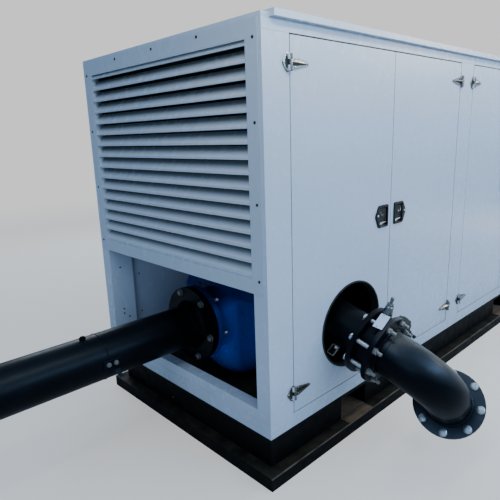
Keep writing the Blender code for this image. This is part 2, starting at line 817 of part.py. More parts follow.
def casing_outline():
    """The pump's outline along its axis. Heights are measured from the back, towards the suction."""
    depth = CASING_BACK - SUCTION_JOINT
    front = CASING_BACK - CASING_FRONT
    flange_back = depth - BLUE_FLANGE_THICKNESS
    flare_foot, flare_top = NECK_FLARE_ENDS
    points = [
        (0.0, depth - SUCTION_BORE_DEPTH),
        (BORE_RADIUS, depth - SUCTION_BORE_DEPTH),
        (BORE_RADIUS, depth),
        (SUCTION_FLANGE_RADIUS, depth),
        (SUCTION_FLANGE_RADIUS, flange_back),
        (NECK_RADIUS, flange_back),
        (NECK_RADIUS, front + flare_top),
        (NECK_RADIUS + NECK_FLARE, front + flare_foot),
        (FRONT_FACE_RADIUS, front),
    ]
    for step in range(7):
        angle = math.radians(90 - 15 * step)
        radius = CASING_RADIUS - SHOULDER + SHOULDER * math.cos(angle)
        points.append((radius, front - SHOULDER + SHOULDER * math.sin(angle)))
    for step in range(5):
        angle = math.radians(-22.5 * step)
        radius = CASING_RADIUS - SHOULDER + SHOULDER * math.cos(angle)
        points.append((radius, SHOULDER + SHOULDER * math.sin(angle)))
    points.append((0.0, 0.0))
    return points


def pump_casing():
    """A round casing about the suction axis."""
    blue = material("pump_blue")
    back = (from_end(CASING_BACK), 0.0, PUMP_AXIS_HEIGHT)
    return turned(
        "pump_casing", casing_outline(), blue, back, (-1, 0, 0), closed=False, steps=CASING_SIDES
    )


def cut_to_casing(piece, middle, length, surface):
    """Hollows a piece where it sits on the casing's round side, over a length along the axis."""
    centre = (middle, 0.0, PUMP_AXIS_HEIGHT)
    radius = CASING_RADIUS + GAP * 2
    name = piece.name + "_saddle"
    saddle = cylinder(name, radius, length, centre, (1, 0, 0), surface, SADDLE_SIDES)
    return combine(piece, saddle, "DIFFERENCE")


def discharge_nozzle():
    """The flanged branch that leaves the casing's side."""
    blue = material("pump_blue")
    origin, out, _, _ = discharge_axis()
    flange_low = NOZZLE_JOINT - FLANGE_THICKNESS_200
    outline = [
        (FLANGE_RADIUS, NOZZLE_JOINT),
        (FLANGE_RADIUS, flange_low),
        (NOZZLE_RADIUS, flange_low),
        (NOZZLE_RADIUS, NOZZLE_ROOT),
        (BORE_RADIUS, NOZZLE_ROOT),
        (BORE_RADIUS, NOZZLE_JOINT),
    ]
    nozzle = turned("discharge_nozzle", outline, blue, origin, out, steps=PIPE_SIDES)
    length = 2 * (FLANGE_RADIUS + CUT_MARGIN)
    return cut_to_casing(nozzle, from_end(DISCHARGE_FROM_END), length, blue)


def pump_pedestal():
    """A saddle block between the deck and the casing."""
    black = material("pipe_black")
    span_x = tuple(from_end(distance) for distance in PEDESTAL)
    span_y = (-PEDESTAL_HALF_WIDTH, PEDESTAL_HALF_WIDTH)
    block = boxes("pump_pedestal", [(span_x, span_y, (DECK_TOP + GAP, PEDESTAL_TOP))], black)
    length = span_x[1] - span_x[0] + 2 * CUT_MARGIN
    return cut_to_casing(block, sum(span_x) / 2, length, black)


def suction_line():
    """A flanged spool, then the plain pipe that the photograph's edge cuts."""
    black = material("pipe_black")
    top = SUCTION_JOINT - GAP
    flange_back = top - SPOOL_FLANGE_THICKNESS
    outline = [
        (SUCTION_FLANGE_RADIUS, top),
        (SUCTION_FLANGE_RADIUS, flange_back),
        (SPOOL_HUB_RADIUS, flange_back),
        (PIPE_RADIUS, flange_back - SPOOL_HUB_LENGTH),
        (PIPE_RADIUS, SUCTION_WELD + GAP),
        (BORE_RADIUS, SUCTION_WELD + GAP),
        (BORE_RADIUS, top),
    ]
    place = (from_end(0.0), 0.0, PUMP_AXIS_HEIGHT)
    turned("suction_spool", outline, black, place, (1, 0, 0))
    pipe = ring(PIPE_RADIUS, BORE_RADIUS, SUCTION_END, SUCTION_WELD)
    turned("suction_pipe", pipe, black, place, (1, 0, 0))


def discharge_spool():
    """The straight pipe through the door's cut-out, with a slip-on flange at each end."""
    black = material("pipe_black")
    origin, out, _, _ = discharge_axis()
    inner = NOZZLE_JOINT + GAP
    pipe = ring(PIPE_RADIUS, BORE_RADIUS, inner, FLANGE_A_FACE)
    turned("discharge_spool_pipe", pipe, black, origin, out)
    for name, low in (("inner", inner), ("outer", FLANGE_A_FACE - FLANGE_THICKNESS_200)):
        flange = ring(FLANGE_RADIUS, PIPE_RADIUS + GAP, low, low + FLANGE_THICKNESS_200)
        turned(f"discharge_spool_flange_{name}", flange, black, origin, out)


def valve():
    """A wafer butterfly valve between the flanges, with its worm gearbox and a bleed fitting."""
    black = material("pipe_black")
    origin, out, sideways, upwards = discharge_axis()
    low = FLANGE_A_FACE + GAP
    high = FLANGE_B_FACE - GAP
    body = turned("valve_body", ring(VALVE_BODY_RADIUS, BORE_RADIUS, low, high), black, origin, out)
    middle = origin + out * (low + high) / 2
    stem = sideways * math.cos(VALVE_STEM_LIFT) + upwards * math.sin(VALVE_STEM_LIFT)
    neck_root = VALVE_BODY_RADIUS - ROOT
    neck_length = VALVE_NECK_END - neck_root
    centre = middle + stem * (neck_root + neck_length / 2)
    neck = cylinder("valve_neck", VALVE_NECK_RADIUS, neck_length, centre, stem, black, ROD_SIDES)
    combine(body, neck)
    gearbox(middle + stem * (VALVE_NECK_END + GAP), stem, out)
    lean = upwards * math.cos(BLEED_LEAN) + sideways * math.sin(BLEED_LEAN)
    outline = [
        (0.0, BLEED_TOP),
        (0.0085, BLEED_TOP),
        (0.0085, BLEED_TOP - 0.016),
        (0.0065, BLEED_TOP - 0.018),
        (0.0065, BLEED_TOP - 0.025),
        (0.0140, BLEED_TOP - 0.029),
        (0.0140, BLEED_TOP - 0.040),
        (0.0195, BLEED_TOP - 0.047),
        (0.0195, BLEED_TOP - 0.062),
        (0.0220, BLEED_TOP - 0.066),
        (0.0220, BLEED_TOP - 0.092),
        (0.0150, BLEED_TOP - 0.096),
        (0.0150, VALVE_BODY_RADIUS + GAP),
        (0.0, VALVE_BODY_RADIUS + GAP),
    ]
    zinc = material("fitting_zinc")
    turned("bleed_fitting", outline, zinc, middle, lean, closed=False, steps=KNUCKLE_SIDES)


def gearbox(place, stem, out):
    """A round-backed housing on the valve's stem, with the stub of its input shaft."""
    olive = material("gearbox_olive")
    outline = [
        (0.0, GEARBOX_DEPTH),
        (GEARBOX_RADIUS - 0.019, GEARBOX_DEPTH),
        (GEARBOX_RADIUS - 0.005, GEARBOX_DEPTH - 0.013),
        (GEARBOX_RADIUS, GEARBOX_DEPTH - 0.028),
        (GEARBOX_RADIUS, 0.0),
        (0.0, 0.0),
    ]
    housing = turned(
        "valve_gearbox", outline, olive, place, stem, closed=False, steps=GEARBOX_SIDES
    )
    across = stem.cross(out)
    centre = place + stem * WORM_DEPTH + across * WORM_OFFSET
    worm = cylinder("worm_barrel", WORM_RADIUS, WORM_LENGTH, centre, out, olive, ROD_SIDES)
    combine(housing, worm)
    centre += out * STUB_FROM_WORM
    stub = cylinder("input_stub", STUB_RADIUS, STUB_LENGTH, centre, out, olive, KNUCKLE_SIDES)
    return combine(housing, stub)


def elbow_route(start, overrun):
    """Points along the middle of the elbow. Overrun lengthens both ends."""
    origin, out, sideways, upwards = discharge_axis()
    bend = sideways * math.cos(ELBOW_ROLL) - upwards * math.sin(ELBOW_ROLL)
    first = origin + out * ELBOW_START
    centre = first + bend * ELBOW_RADIUS
    points = [origin + out * (start - overrun)]
    for step in range(ELBOW_STEPS + 1):
        angle = math.radians(90.0) * step / ELBOW_STEPS
        sweep = out * math.sin(angle) - bend * math.cos(angle)
        points.append(centre + sweep * ELBOW_RADIUS)
    mouth = points[-1] + bend * ELBOW_STRAIGHT
    points.append(mouth + bend * overrun)
    return points, bend, mouth


def discharge_elbow():
    """A short elbow that turns sideways and down, with a flange at each end."""
    black = material("pipe_black")
    origin, out, _, _ = discharge_axis()
    points, bend, mouth = elbow_route(FLANGE_B_FACE, 0.0)
    elbow = tube("discharge_elbow", points, PIPE_RADIUS, black)
    thick = FLANGE_THICKNESS_200
    disc = [(0.0, thick), (FLANGE_RADIUS, thick), (FLANGE_RADIUS, 0.0), (0.0, 0.0)]
    inner_place = origin + out * FLANGE_B_FACE
    combine(elbow, turned("flange_b", disc, black, inner_place, out, closed=False))
    combine(elbow, turned("flange_c", disc, black, mouth - bend * thick, bend, closed=False))
    bore_points, _, _ = elbow_route(FLANGE_B_FACE, CUT_MARGIN)
    return combine(elbow, tube("elbow_bore", bore_points, BORE_RADIUS, black), "DIFFERENCE")


clear_scene()
PARTS = new_collection("booster_pump")
TOOLS = new_collection("cutters")
skid()
base_rails()
posts()
headers_and_roof()
ends()
front_doors()
back_doors()
pump_casing()
discharge_nozzle()
pump_pedestal()
suction_line()
discharge_spool()
valve()
discharge_elbow()
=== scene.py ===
"""Looks for the booster pump: surfaces, fasteners, furniture, light and camera."""
import json
import math

import bmesh
import bpy
from mathutils import Matrix, Vector


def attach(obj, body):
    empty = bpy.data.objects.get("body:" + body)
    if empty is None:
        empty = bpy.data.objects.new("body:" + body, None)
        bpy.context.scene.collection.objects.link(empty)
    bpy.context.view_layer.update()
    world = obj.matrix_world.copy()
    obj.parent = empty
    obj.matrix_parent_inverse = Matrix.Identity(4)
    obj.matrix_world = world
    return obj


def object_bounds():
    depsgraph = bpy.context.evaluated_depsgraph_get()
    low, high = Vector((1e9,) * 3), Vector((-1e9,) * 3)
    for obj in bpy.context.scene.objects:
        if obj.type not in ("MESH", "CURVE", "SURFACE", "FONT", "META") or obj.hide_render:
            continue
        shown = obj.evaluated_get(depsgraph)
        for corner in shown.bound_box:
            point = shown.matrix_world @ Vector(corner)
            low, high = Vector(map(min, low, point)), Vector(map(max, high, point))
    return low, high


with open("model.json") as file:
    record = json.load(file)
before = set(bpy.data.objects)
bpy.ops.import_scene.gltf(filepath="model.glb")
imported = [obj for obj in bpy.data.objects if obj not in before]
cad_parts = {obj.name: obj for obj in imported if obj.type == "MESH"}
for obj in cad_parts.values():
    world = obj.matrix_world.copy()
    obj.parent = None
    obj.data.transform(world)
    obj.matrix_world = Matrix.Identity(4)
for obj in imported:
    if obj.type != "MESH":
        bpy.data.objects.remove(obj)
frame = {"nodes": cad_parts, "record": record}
cad_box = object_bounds()
NODES = frame["nodes"]

# The housing's end and side faces, from the middle of the part
END_X = 1.755
SIDE_Y = 0.71
UP = Vector((0, 0, 1))
ALONG = Vector((1, 0, 0))
FRONT = Vector((0, -1, 0))
ENDS = (("near", -1), ("far", 1))
SIDES = (("front", -1), ("back", 1))
PALE = (0.93, 0.93, 0.93)  # the backdrop


class Graph:
    """Adds nodes to a node tree, with their inputs set or linked."""

    def __init__(self, tree):
        self.tree = tree

    def node(self, kind, inputs=None, **settings):
        made = self.tree.nodes.new(kind)
        for key, value in settings.items():
            setattr(made, key, value)
        for key, value in (inputs or {}).items():
            if isinstance(value, bpy.types.NodeSocket):
                self.tree.links.new(value, made.inputs[key])
            else:
                made.inputs[key].default_value = value
        return made

    def maths(self, operation, first, second=0.0):
        return self.node("ShaderNodeMath", {0: first, 1: second}, operation=operation).outputs[0]

    def times(self, first, *others):
        """The product of two values or more."""
        for other in others:
            first = self.maths("MULTIPLY", first, other)
        return first

    def component(self, vector, direction):
        """How far a vector points in a direction."""
        values = {0: vector, 1: direction}
        return self.node("ShaderNodeVectorMath", values, operation="DOT_PRODUCT").outputs["Value"]

    def band(self, value, low, high, to_low=0.0, to_high=1.0, **settings):
        """Maps a range onto another, held at its ends."""
        values = {"Value": value, "From Min": low, "From Max": high}
        values |= {"To Min": to_low, "To Max": to_high}
        return self.node("ShaderNodeMapRange", values, clamp=True, **settings).outputs["Result"]

    def fall(self, value, low, high, top=1.0):
        """Runs down from a top value to nothing over a range."""
        return self.band(value, low, high, top, 0.0)

    def mix(self, factor, first, second):
        node = self.node("ShaderNodeMix", data_type="RGBA")
        sockets = node.inputs["Factor"], node.inputs[6], node.inputs[7]
        for socket, value in zip(sockets, (factor, first, second)):
            if isinstance(value, bpy.types.NodeSocket):
                self.tree.links.new(value, socket)
            else:
                socket.default_value = value if isinstance(value, float) else (*value, 1.0)
        return node.outputs[2]


class Surface(Graph):
    """A procedural material, built up node by node in the part's own coordinates."""

    def __init__(self, name, roughness, metallic=0.0, specular=0.5):
        self.material = bpy.data.materials.new(name)
        self.material.use_nodes = True
        super().__init__(self.material.node_tree)
        self.shader = self.tree.nodes["Principled BSDF"]
        values = {"Roughness": roughness, "Metallic": metallic, "Specular IOR Level": specular}
        for key, value in values.items():
            self.shader.inputs[key].default_value = value
        self.where = self.tree.nodes.new("ShaderNodeTexCoord").outputs["Object"]

    def noise(self, scale, detail=3.0, stretch=(1, 1, 1)):
        mapped = self.node("ShaderNodeMapping", {"Vector": self.where, "Scale": stretch})
        values = {"Vector": mapped.outputs["Vector"], "Scale": scale}
        values |= {"Detail": detail, "Roughness": 0.55}
        return self.node("ShaderNodeTexNoise", values).outputs["Fac"]

    def patches(self, scale, detail, low, high, to_low=0.0, to_high=1.0):
        """Noise, with one range of it mapped onto another."""
        return self.band(self.noise(scale, detail), low, high, to_low, to_high)

    def spots(self, scale):
        values = {"Vector": self.where, "Scale": scale}
        return self.node("ShaderNodeTexVoronoi", values).outputs["Distance"]

    def axes(self):
        return self.node("ShaderNodeSeparateXYZ", {"Vector": self.where}).outputs

    def height(self):
        return self.axes()["Z"]

    def from_middle(self, axis):
        """How far a point lies from the middle of the part, along one axis."""
        return self.maths("ABSOLUTE", self.axes()[axis])

    def lining(self):
        """One on the faces inside the housing, past the open bay, that are painted near-black as shade,
        and zero elsewhere.
        """
        axes = self.axes()
        above = self.band(axes["Z"], 0.956, 0.958)
        past = self.band(axes["X"], -0.98, -0.97)
        return self.times(
            self.fall(self.from_middle("Y"), 0.6728, 0.6732),
            self.fall(self.from_middle("X"), 1.7080, 1.7085),
            self.maths("MAXIMUM", above, past),
            self.fall(axes["Z"], 1.9855, 1.9860),
            self.band(axes["Z"], 0.262, 0.264),
        )

    def facing_up(self):
        normal = self.node("ShaderNodeNewGeometry").outputs["Normal"]
        return self.node("ShaderNodeSeparateXYZ", {"Vector": normal}).outputs["Z"]

    def colour(self, value):
        self.tree.links.new(value, self.shader.inputs["Base Color"])

    def roughness(self, value):
        self.tree.links.new(value, self.shader.inputs["Roughness"])

    def bump(self, height, strength, distance=0.001, under=None):
        values = {"Height": height, "Strength": strength, "Distance": distance}
        if under is not None:
            values["Normal"] = under
        normal = self.node("ShaderNodeBump", values).outputs["Normal"]
        self.tree.links.new(normal, self.shader.inputs["Normal"])
        return normal


def housing_paint(name, painted_inner_shade=True):
    """White paint, grimy low down and with painted shade near the floor: painted near-black as shade
    inside the housing, or else with painted light on the blades and painted shade behind them.
    """
    s = Surface(name, 0.3, specular=0.35 if painted_inner_shade else 0.12)
    cloud = s.patches(1.3, 4.0, 0.3, 0.7)
    if painted_inner_shade:
        base = s.mix(cloud, (0.500, 0.575, 0.680), (0.530, 0.605, 0.710))
        streak = s.band(s.noise(5.0, 5.0, (4.0, 4.0, 0.35)), 0.52, 0.8, 0.0, 0.06)
        base = s.mix(streak, base, (0.44, 0.52, 0.62))
    else:
        base = s.mix(cloud, (0.470, 0.535, 0.615), (0.490, 0.555, 0.635))
    grime = s.times(s.fall(s.height(), 0.26, 0.62), s.patches(9.0, 6.0, 0.4, 0.75, 0.0, 0.35))
    base = s.mix(grime, base, (0.33, 0.36, 0.38))
    # Painted shade: evenly darker and bluer towards the floor.
    base = s.mix(s.fall(s.height(), 0.26, 0.50, 0.30), base, (0.22, 0.29, 0.40))
    gloss = s.patches(18.0, 4.0, 0.3, 0.7, 0.24, 0.29)
    if painted_inner_shade:
        # Painted shade: the faces inside the housing are near-black and rough.
        inside = s.lining()
        base = s.mix(inside, base, (0.010, 0.011, 0.012))
        gloss = s.maths("MAXIMUM", gloss, inside)
    else:
        along = s.from_middle("X")
        # Painted light: the blades, behind the frame's face, are lighter and less blue, as if lit from
        # the sky.
        base = s.mix(s.fall(along, 1.7505, 1.7515), base, (0.590, 0.640, 0.700))
        # Painted shade: darker deeper in behind the frame's face, under each blade above.
        painted_blade_shade = s.band(along, 1.7180, 1.7500, 0.86, 0.0, interpolation_type="SMOOTHSTEP")
        base = s.mix(painted_blade_shade, base, (0.060, 0.066, 0.062))
    s.colour(base)
    s.roughness(gloss)
    peel = s.bump(s.noise(240.0, 2.0), 0.04, 0.0006)
    s.bump(s.noise(2.6, 2.0), 0.05, 0.004, peel)
    return s.material


def skid_paint():
    """Black paint, dusty on top, on the rails' lower rims and in the fork pockets, with rust."""
    s = Surface("skid_black_paint", 0.5, specular=0.08)
    base = s.mix(s.patches(6.0, 5.0, 0.35, 0.7), (0.001, 0.0012, 0.0015), (0.004, 0.004, 0.004))
    dust = s.times(s.band(s.facing_up(), 0.5, 0.95), s.patches(14.0, 7.0, 0.3, 0.7, 0.05, 0.55))
    base = s.mix(dust, base, (0.060, 0.052, 0.040))
    along, height = s.from_middle("X"), s.height()
    rim = s.times(
        s.band(s.from_middle("Y"), 0.704, 0.708),
        s.band(height, 0.058, 0.062),
        s.fall(height, 0.066, 0.067),
        s.patches(11.0, 5.0, 0.35, 0.6, 0.3, 0.9),
    )
    base = s.mix(rim, base, (0.16, 0.135, 0.100))
    pocket = s.times(
        s.band(along, 0.936, 0.938),
        s.fall(along, 1.154, 1.156),
        s.fall(height, 0.084, 0.086),
        s.band(s.facing_up(), 0.5, 0.9),
        s.patches(16.0, 6.0, 0.3, 0.6, 0.6, 1.0),
    )
    base = s.mix(pocket, base, (0.17, 0.120, 0.080))
    rust = s.times(s.patches(38.0, 6.0, 0.66, 0.76, 0.0, 0.6), s.patches(3.0, 2.0, 0.45, 0.62))
    s.colour(s.mix(rust, base, (0.040, 0.018, 0.009)))
    s.roughness(s.patches(22.0, 4.0, 0.3, 0.7, 0.42, 0.65))
    scale = s.bump(s.noise(160.0, 4.0), 0.25, 0.0008)
    s.bump(s.noise(9.0, 3.0), 0.15, 0.003, scale)
    return s.material


def pipe_paint():
    """Black paint, with beige on the elbow's upper side, partly dust and partly a painted reflection,
    and a cool sheen on what faces up.
    """
    s = Surface("pipe_black_paint", 0.3, specular=0.11)
    base = s.mix(s.patches(8.0, 5.0, 0.35, 0.7), (0.0008, 0.001, 0.0015), (0.002, 0.0025, 0.004))
    axes = s.axes()
    outside = s.fall(axes["Y"], -0.98, -0.93)
    normal = s.node("ShaderNodeNewGeometry").outputs["Normal"]
    # Beige on the elbow's faces that point up and towards +X: dust, and a painted reflection of beige
    # surroundings along its top edge.
    toward = s.component(normal, (0.552, -0.218, 0.805))
    dust = s.times(outside, s.band(toward, 0.80, 0.92), s.patches(20.0, 6.0, 0.30, 0.60, 0.5, 0.9))
    s.colour(s.mix(dust, base, (0.10, 0.092, 0.064)))
    clear = s.maths("MAXIMUM", outside, s.fall(axes["X"], -1.84, -1.78, 0.35))
    sheen = s.maths("ADD", s.times(clear, s.band(s.facing_up(), 0.25, 0.70, 0.0, 0.42)), 0.10)
    s.tree.links.new(sheen, s.shader.inputs["Specular IOR Level"])
    s.shader.inputs["Specular Tint"].default_value = (0.62, 0.80, 1.0, 1.0)
    s.roughness(s.patches(26.0, 4.0, 0.3, 0.7, 0.34, 0.41))
    peel = s.bump(s.noise(210.0, 2.0), 0.04, 0.0006)
    s.bump(s.noise(9.0, 2.0), 0.03, 0.003, peel)
    return s.material


def pump_paint():
    """Blue paint, with painted shade towards the top and the front of the pump, where the housing
    shades it.
    """
    s = Surface("pump_blue_paint", 0.25, specular=0.12)
    base = s.mix(s.patches(7.0, 4.0, 0.3, 0.7), (0.002, 0.150, 1.0), (0.004, 0.190, 1.0))
    base = s.mix(s.patches(45.0, 6.0, 0.62, 0.8, 0.0, 0.5), base, (0.001, 0.035, 0.30))
    axes = s.axes()
    # Painted shade cast by the housing, towards the top and the front.
    top = s.band(axes["Z"], 0.58, 0.72, 0.0, 0.96)
    shade = s.maths("MAXIMUM", top, s.fall(axes["Y"], -0.19, -0.05, 0.86))
    s.colour(s.mix(shade, base, (0.0007, 0.011, 0.09)))
    s.roughness(s.patches(30.0, 3.0, 0.3, 0.7, 0.22, 0.36))
    cast = s.bump(s.noise(70.0, 4.0), 0.10, 0.0012)
    s.bump(s.noise(260.0, 2.0), 0.06, 0.0006, cast)
    return s.material


def cast_paint(name, low, high):
    s = Surface(name, 0.5, specular=0.25)
    s.colour(s.mix(s.patches(60.0, 5.0, 0.3, 0.7), low, high))
    s.roughness(s.patches(90.0, 3.0, 0.3, 0.7, 0.35, 0.6))
    s.bump(s.noise(170.0, 4.0), 0.35, 0.0012)
    return s.material


def bright_metal(name, colour, low, high, under=None):
    """Plated metal. Where a colour is given, its undersides and its lower pieces take it as a painted
    dark reflection of the ground.
    """
    s = Surface(name, low, metallic=1.0)
    shade = tuple(0.86 * value for value in colour)
    base = s.mix(s.patches(55.0, 4.0, 0.35, 0.7), shade, colour)
    if under:
        # Painted reflection: the dark ground mirrored in the undersides, and more so in the lower
        # pieces.
        upward = s.facing_up()
        base = s.mix(s.fall(upward, -0.35, -0.05), base, under)
        low_ground_reflection = s.times(s.fall(s.height(), 0.55, 0.70, 0.9), s.fall(upward, 0.15, 0.55))
        base = s.mix(low_ground_reflection, base, under)
    s.colour(base)
    s.roughness(s.patches(120.0, 3.0, 0.3, 0.7, low, high))
    s.bump(s.noise(420.0, 3.0, (1.0, 1.0, 4.0)), 0.05, 0.0005)
    return s.material


def galvanised(name, light, grime):
    s = Surface(name, 0.42, metallic=0.85)
    flake = s.band(s.spots(190.0), 0.1, 0.6)
    base = s.mix(flake, light[0], light[1])
    base = s.mix(s.patches(60.0, 5.0, 0.58, 0.78, 0.0, 0.5), base, grime)
    s.colour(base)
    s.roughness(s.patches(130.0, 3.0, 0.3, 0.7, 0.34, 0.55))
    s.bump(s.noise(300.0, 3.0), 0.12, 0.0006)
    return s.material


def moulded(name, colour, low, high, grain=300.0, strength=0.15, spread=1.7):
    s = Surface(name, low, specular=0.35)
    lighter = tuple(spread * value for value in colour)
    s.colour(s.mix(s.patches(40.0, 4.0, 0.35, 0.75), colour, lighter))
    s.roughness(s.patches(90.0, 3.0, 0.3, 0.7, low, high))
    s.bump(s.noise(grain, 3.0), strength, 0.0006)
    return s.material


def floor_paint():
    s = Surface("pale_floor", 0.75, specular=0.1)
    near = s.mix(s.patches(2.0, 3.0, 0.3, 0.7), (0.60, 0.58, 0.55), (0.62, 0.60, 0.57))
    distance = s.node("ShaderNodeVectorMath", {0: s.where}, operation="LENGTH").outputs["Value"]
    far = s.band(distance, 3.0, 11.0)
    s.colour(s.mix(far, near, (0.0, 0.0, 0.0)))
    seen = s.node("ShaderNodeLightPath").outputs["Is Camera Ray"]
    glow = s.mix(seen, (0.18, 0.30, 0.46), PALE)
    lift = s.mix(seen, (0.0, 0.0, 0.0), (0.42, 0.40, 0.37))
    s.tree.links.new(s.mix(far, lift, glow), s.shader.inputs["Emission Color"])
    s.shader.inputs["Emission Strength"].default_value = 1.0
    return s.material


WHITE = housing_paint("white_paint")
LOUVRE_WHITE = housing_paint("louvre_white_paint", painted_inner_shade=False)
SKID = skid_paint()
PIPE = pipe_paint()
BLUE = pump_paint()
OLIVE = cast_paint("gearbox_olive_paint", (0.008, 0.010, 0.008), (0.016, 0.019, 0.014))
CHROME = bright_metal("hinge_chrome", (0.50, 0.49, 0.44), 0.10, 0.18, under=(0.09, 0.075, 0.055))
ZINC = galvanised("galvanised_steel", ((0.30, 0.33, 0.36), (0.46, 0.50, 0.54)), (0.20, 0.20, 0.19))
# A darker steel, for the nuts beside the gearbox.
MID_GREY_ZINC = galvanised("worn_steel", ((0.16, 0.16, 0.16), (0.34, 0.34, 0.33)), (0.05, 0.045, 0.04))
DULL = galvanised("dull_steel", ((0.10, 0.11, 0.11), (0.20, 0.21, 0.21)), (0.05, 0.045, 0.04))
BRIGHT = bright_metal("latch_bright_steel", (0.88, 0.88, 0.84), 0.22, 0.34)
PLATED = bright_metal("plated_fitting", (0.17, 0.19, 0.19), 0.25, 0.4)
LATCH = moulded("latch_plastic", (0.004, 0.005, 0.005), 0.38, 0.50)
RUBBER = moulded("edge_rubber", (0.006, 0.006, 0.007), 0.6, 0.8, 180.0, 0.3)
JOINT = moulded("joint_shadow", (0.14, 0.18, 0.24), 0.6, 0.7)
PLATE = moulded("bare_plate", (0.50, 0.58, 0.74), 0.40, 0.5, 120.0, 0.02, 1.1)

# The surface of each slot on the solids, and how far their edges are rounded
SLOTS = {
    "housing_white": (WHITE, 0.0015),
    "skid_black": (SKID, 0.0025),
    "pipe_black": (PIPE, 0.0012),
    "pump_blue": (BLUE, 0.0),
    "gearbox_olive": (OLIVE, 0.0015),
    "hinge_bright": (CHROME, 0.0004),
    "latch_black": (LATCH, 0.0008),
    "fitting_zinc": (PLATED, 0.0),
}
# The slot of each surface, with those that only the small parts have
SURFACE_SLOTS = {surface.name: slot for slot, (surface, _) in SLOTS.items()}
for spare in (ZINC, MID_GREY_ZINC, DULL, BRIGHT):
    SURFACE_SLOTS[spare.name] = "fitting_zinc"
for spare in (JOINT, PLATE):
    SURFACE_SLOTS[spare.name] = "housing_white"
SURFACE_SLOTS[RUBBER.name] = "latch_black"


def geometry_group(name):
    """An empty geometry node group with the graph to fill it and its incoming geometry."""
    tree = bpy.data.node_groups.new(name, "GeometryNodeTree")
    tree.interface.new_socket("Geometry", in_out="INPUT", socket_type="NodeSocketGeometry")
    tree.interface.new_socket("Geometry", in_out="OUTPUT", socket_type="NodeSocketGeometry")
    graph = Graph(tree)
    return graph, graph.node("NodeGroupInput").outputs[0]


def join_points():
    """Joins the doubled points of a loaded solid and drops the normals that came with it."""
    g, solid = geometry_group("join_points")
    merged = g.node("GeometryNodeMergeByDistance", {"Geometry": solid, "Distance": 0.00002})
    plain = g.node(
        "GeometryNodeSetMeshNormal",
        {"Mesh": merged.outputs[0], "Remove Custom": True},
        mode="SHARPNESS",
    )
    g.node("NodeGroupOutput", {0: plain.outputs[0]})
    return g.tree


def smooth_rounds(degrees):
    """Smooths a mesh across its shallow edges and keeps the steep ones sharp."""
    g, solid = geometry_group("smooth_rounds")
    angle = g.node("GeometryNodeInputMeshEdgeAngle").outputs["Unsigned Angle"]
    limits = {0: angle, 1: math.radians(degrees)}
    steep = g.node("FunctionNodeCompare", limits, operation="GREATER_THAN")
    smooth = g.node("GeometryNodeSetShadeSmooth", {"Geometry": solid, "Shade Smooth": True})
    values = {"Geometry": smooth.outputs[0], "Selection": steep.outputs[0], "Shade Smooth": False}
    sharp = g.node("GeometryNodeSetShadeSmooth", values, domain="EDGE")
    g.node("NodeGroupOutput", {0: sharp.outputs[0]})
    return g.tree


def soften(item, width, degrees):
    """Rounds the steep edges a little, so that they catch the light."""
    edge = item.modifiers.new("edge", "BEVEL")
    edge.width = width
    edge.segments = 2
    edge.limit_method = "ANGLE"
    edge.angle_limit = math.radians(degrees)


def even_normals(item):
    """Keeps the flats flat beside a rounded edge."""
    even = item.modifiers.new("even", "WEIGHTED_NORMAL")
    even.keep_sharp = True


def dress_nodes():
    """Gives each solid its surface, softens its edges and smooths its rounds."""
    joined, rounds = join_points(), smooth_rounds(35.0)
    for entry in frame["record"]["subparts"]:
        item = NODES[entry["node"]]
        surface, width = SLOTS[entry["material_slot"]]
        louvre = "louvre" in entry["node"]
        item.data.materials.clear()
        item.data.materials.append(LOUVRE_WHITE if louvre else surface)
        item.modifiers.new("joined", "NODES").node_group = joined
        if width and not louvre:
            flat = item.modifiers.new("flat", "DECIMATE")
            flat.decimate_type = "DISSOLVE"
            flat.angle_limit = math.radians(0.5)
            soften(item, 0.0004 if entry["node"] == "roof" else width, 40)
        item.modifiers.new("rounds", "NODES").node_group = rounds
        even_normals(item)


def add(name, data):
    """A new object in the scene."""
    item = bpy.data.objects.new(name, data)
    bpy.context.scene.collection.objects.link(item)
    return item


def camera():
    """The view of the open end and the front."""
    data = bpy.data.cameras.new("camera")
    data.lens = 34.86
    data.sensor_width = 36.0
    item = add("camera", data)
    right = Vector((0.7233, -0.6898, -0.0326)).normalized()
    forward = Vector((0.6658, 0.7090, -0.2324)).normalized()
    above = right.cross(forward).normalized()
    turn = Matrix((right, above, -forward)).transposed()
    item.matrix_world = Matrix.Translation((-3.081, -2.027, 1.573)) @ turn.to_4x4()
    bpy.context.scene.camera = item


def area_light(name, place, target, size, power, colour):
    """A rectangular lamp that lights and is mirrored, but isn't seen itself."""
    data = bpy.data.lights.new(name, "AREA")
    data.shape = "RECTANGLE"
    data.size, data.size_y = size
    data.energy = power
    data.color = colour
    item = add(name, data)
    item.location = place
    aim = Vector(target) - Vector(place)
    item.rotation_euler = aim.to_track_quat("-Z", "Y").to_euler()
    item.visible_camera = False


COOL = (0.50, 0.72, 1.0)
DAYLIGHT = (0.78, 0.88, 1.0)


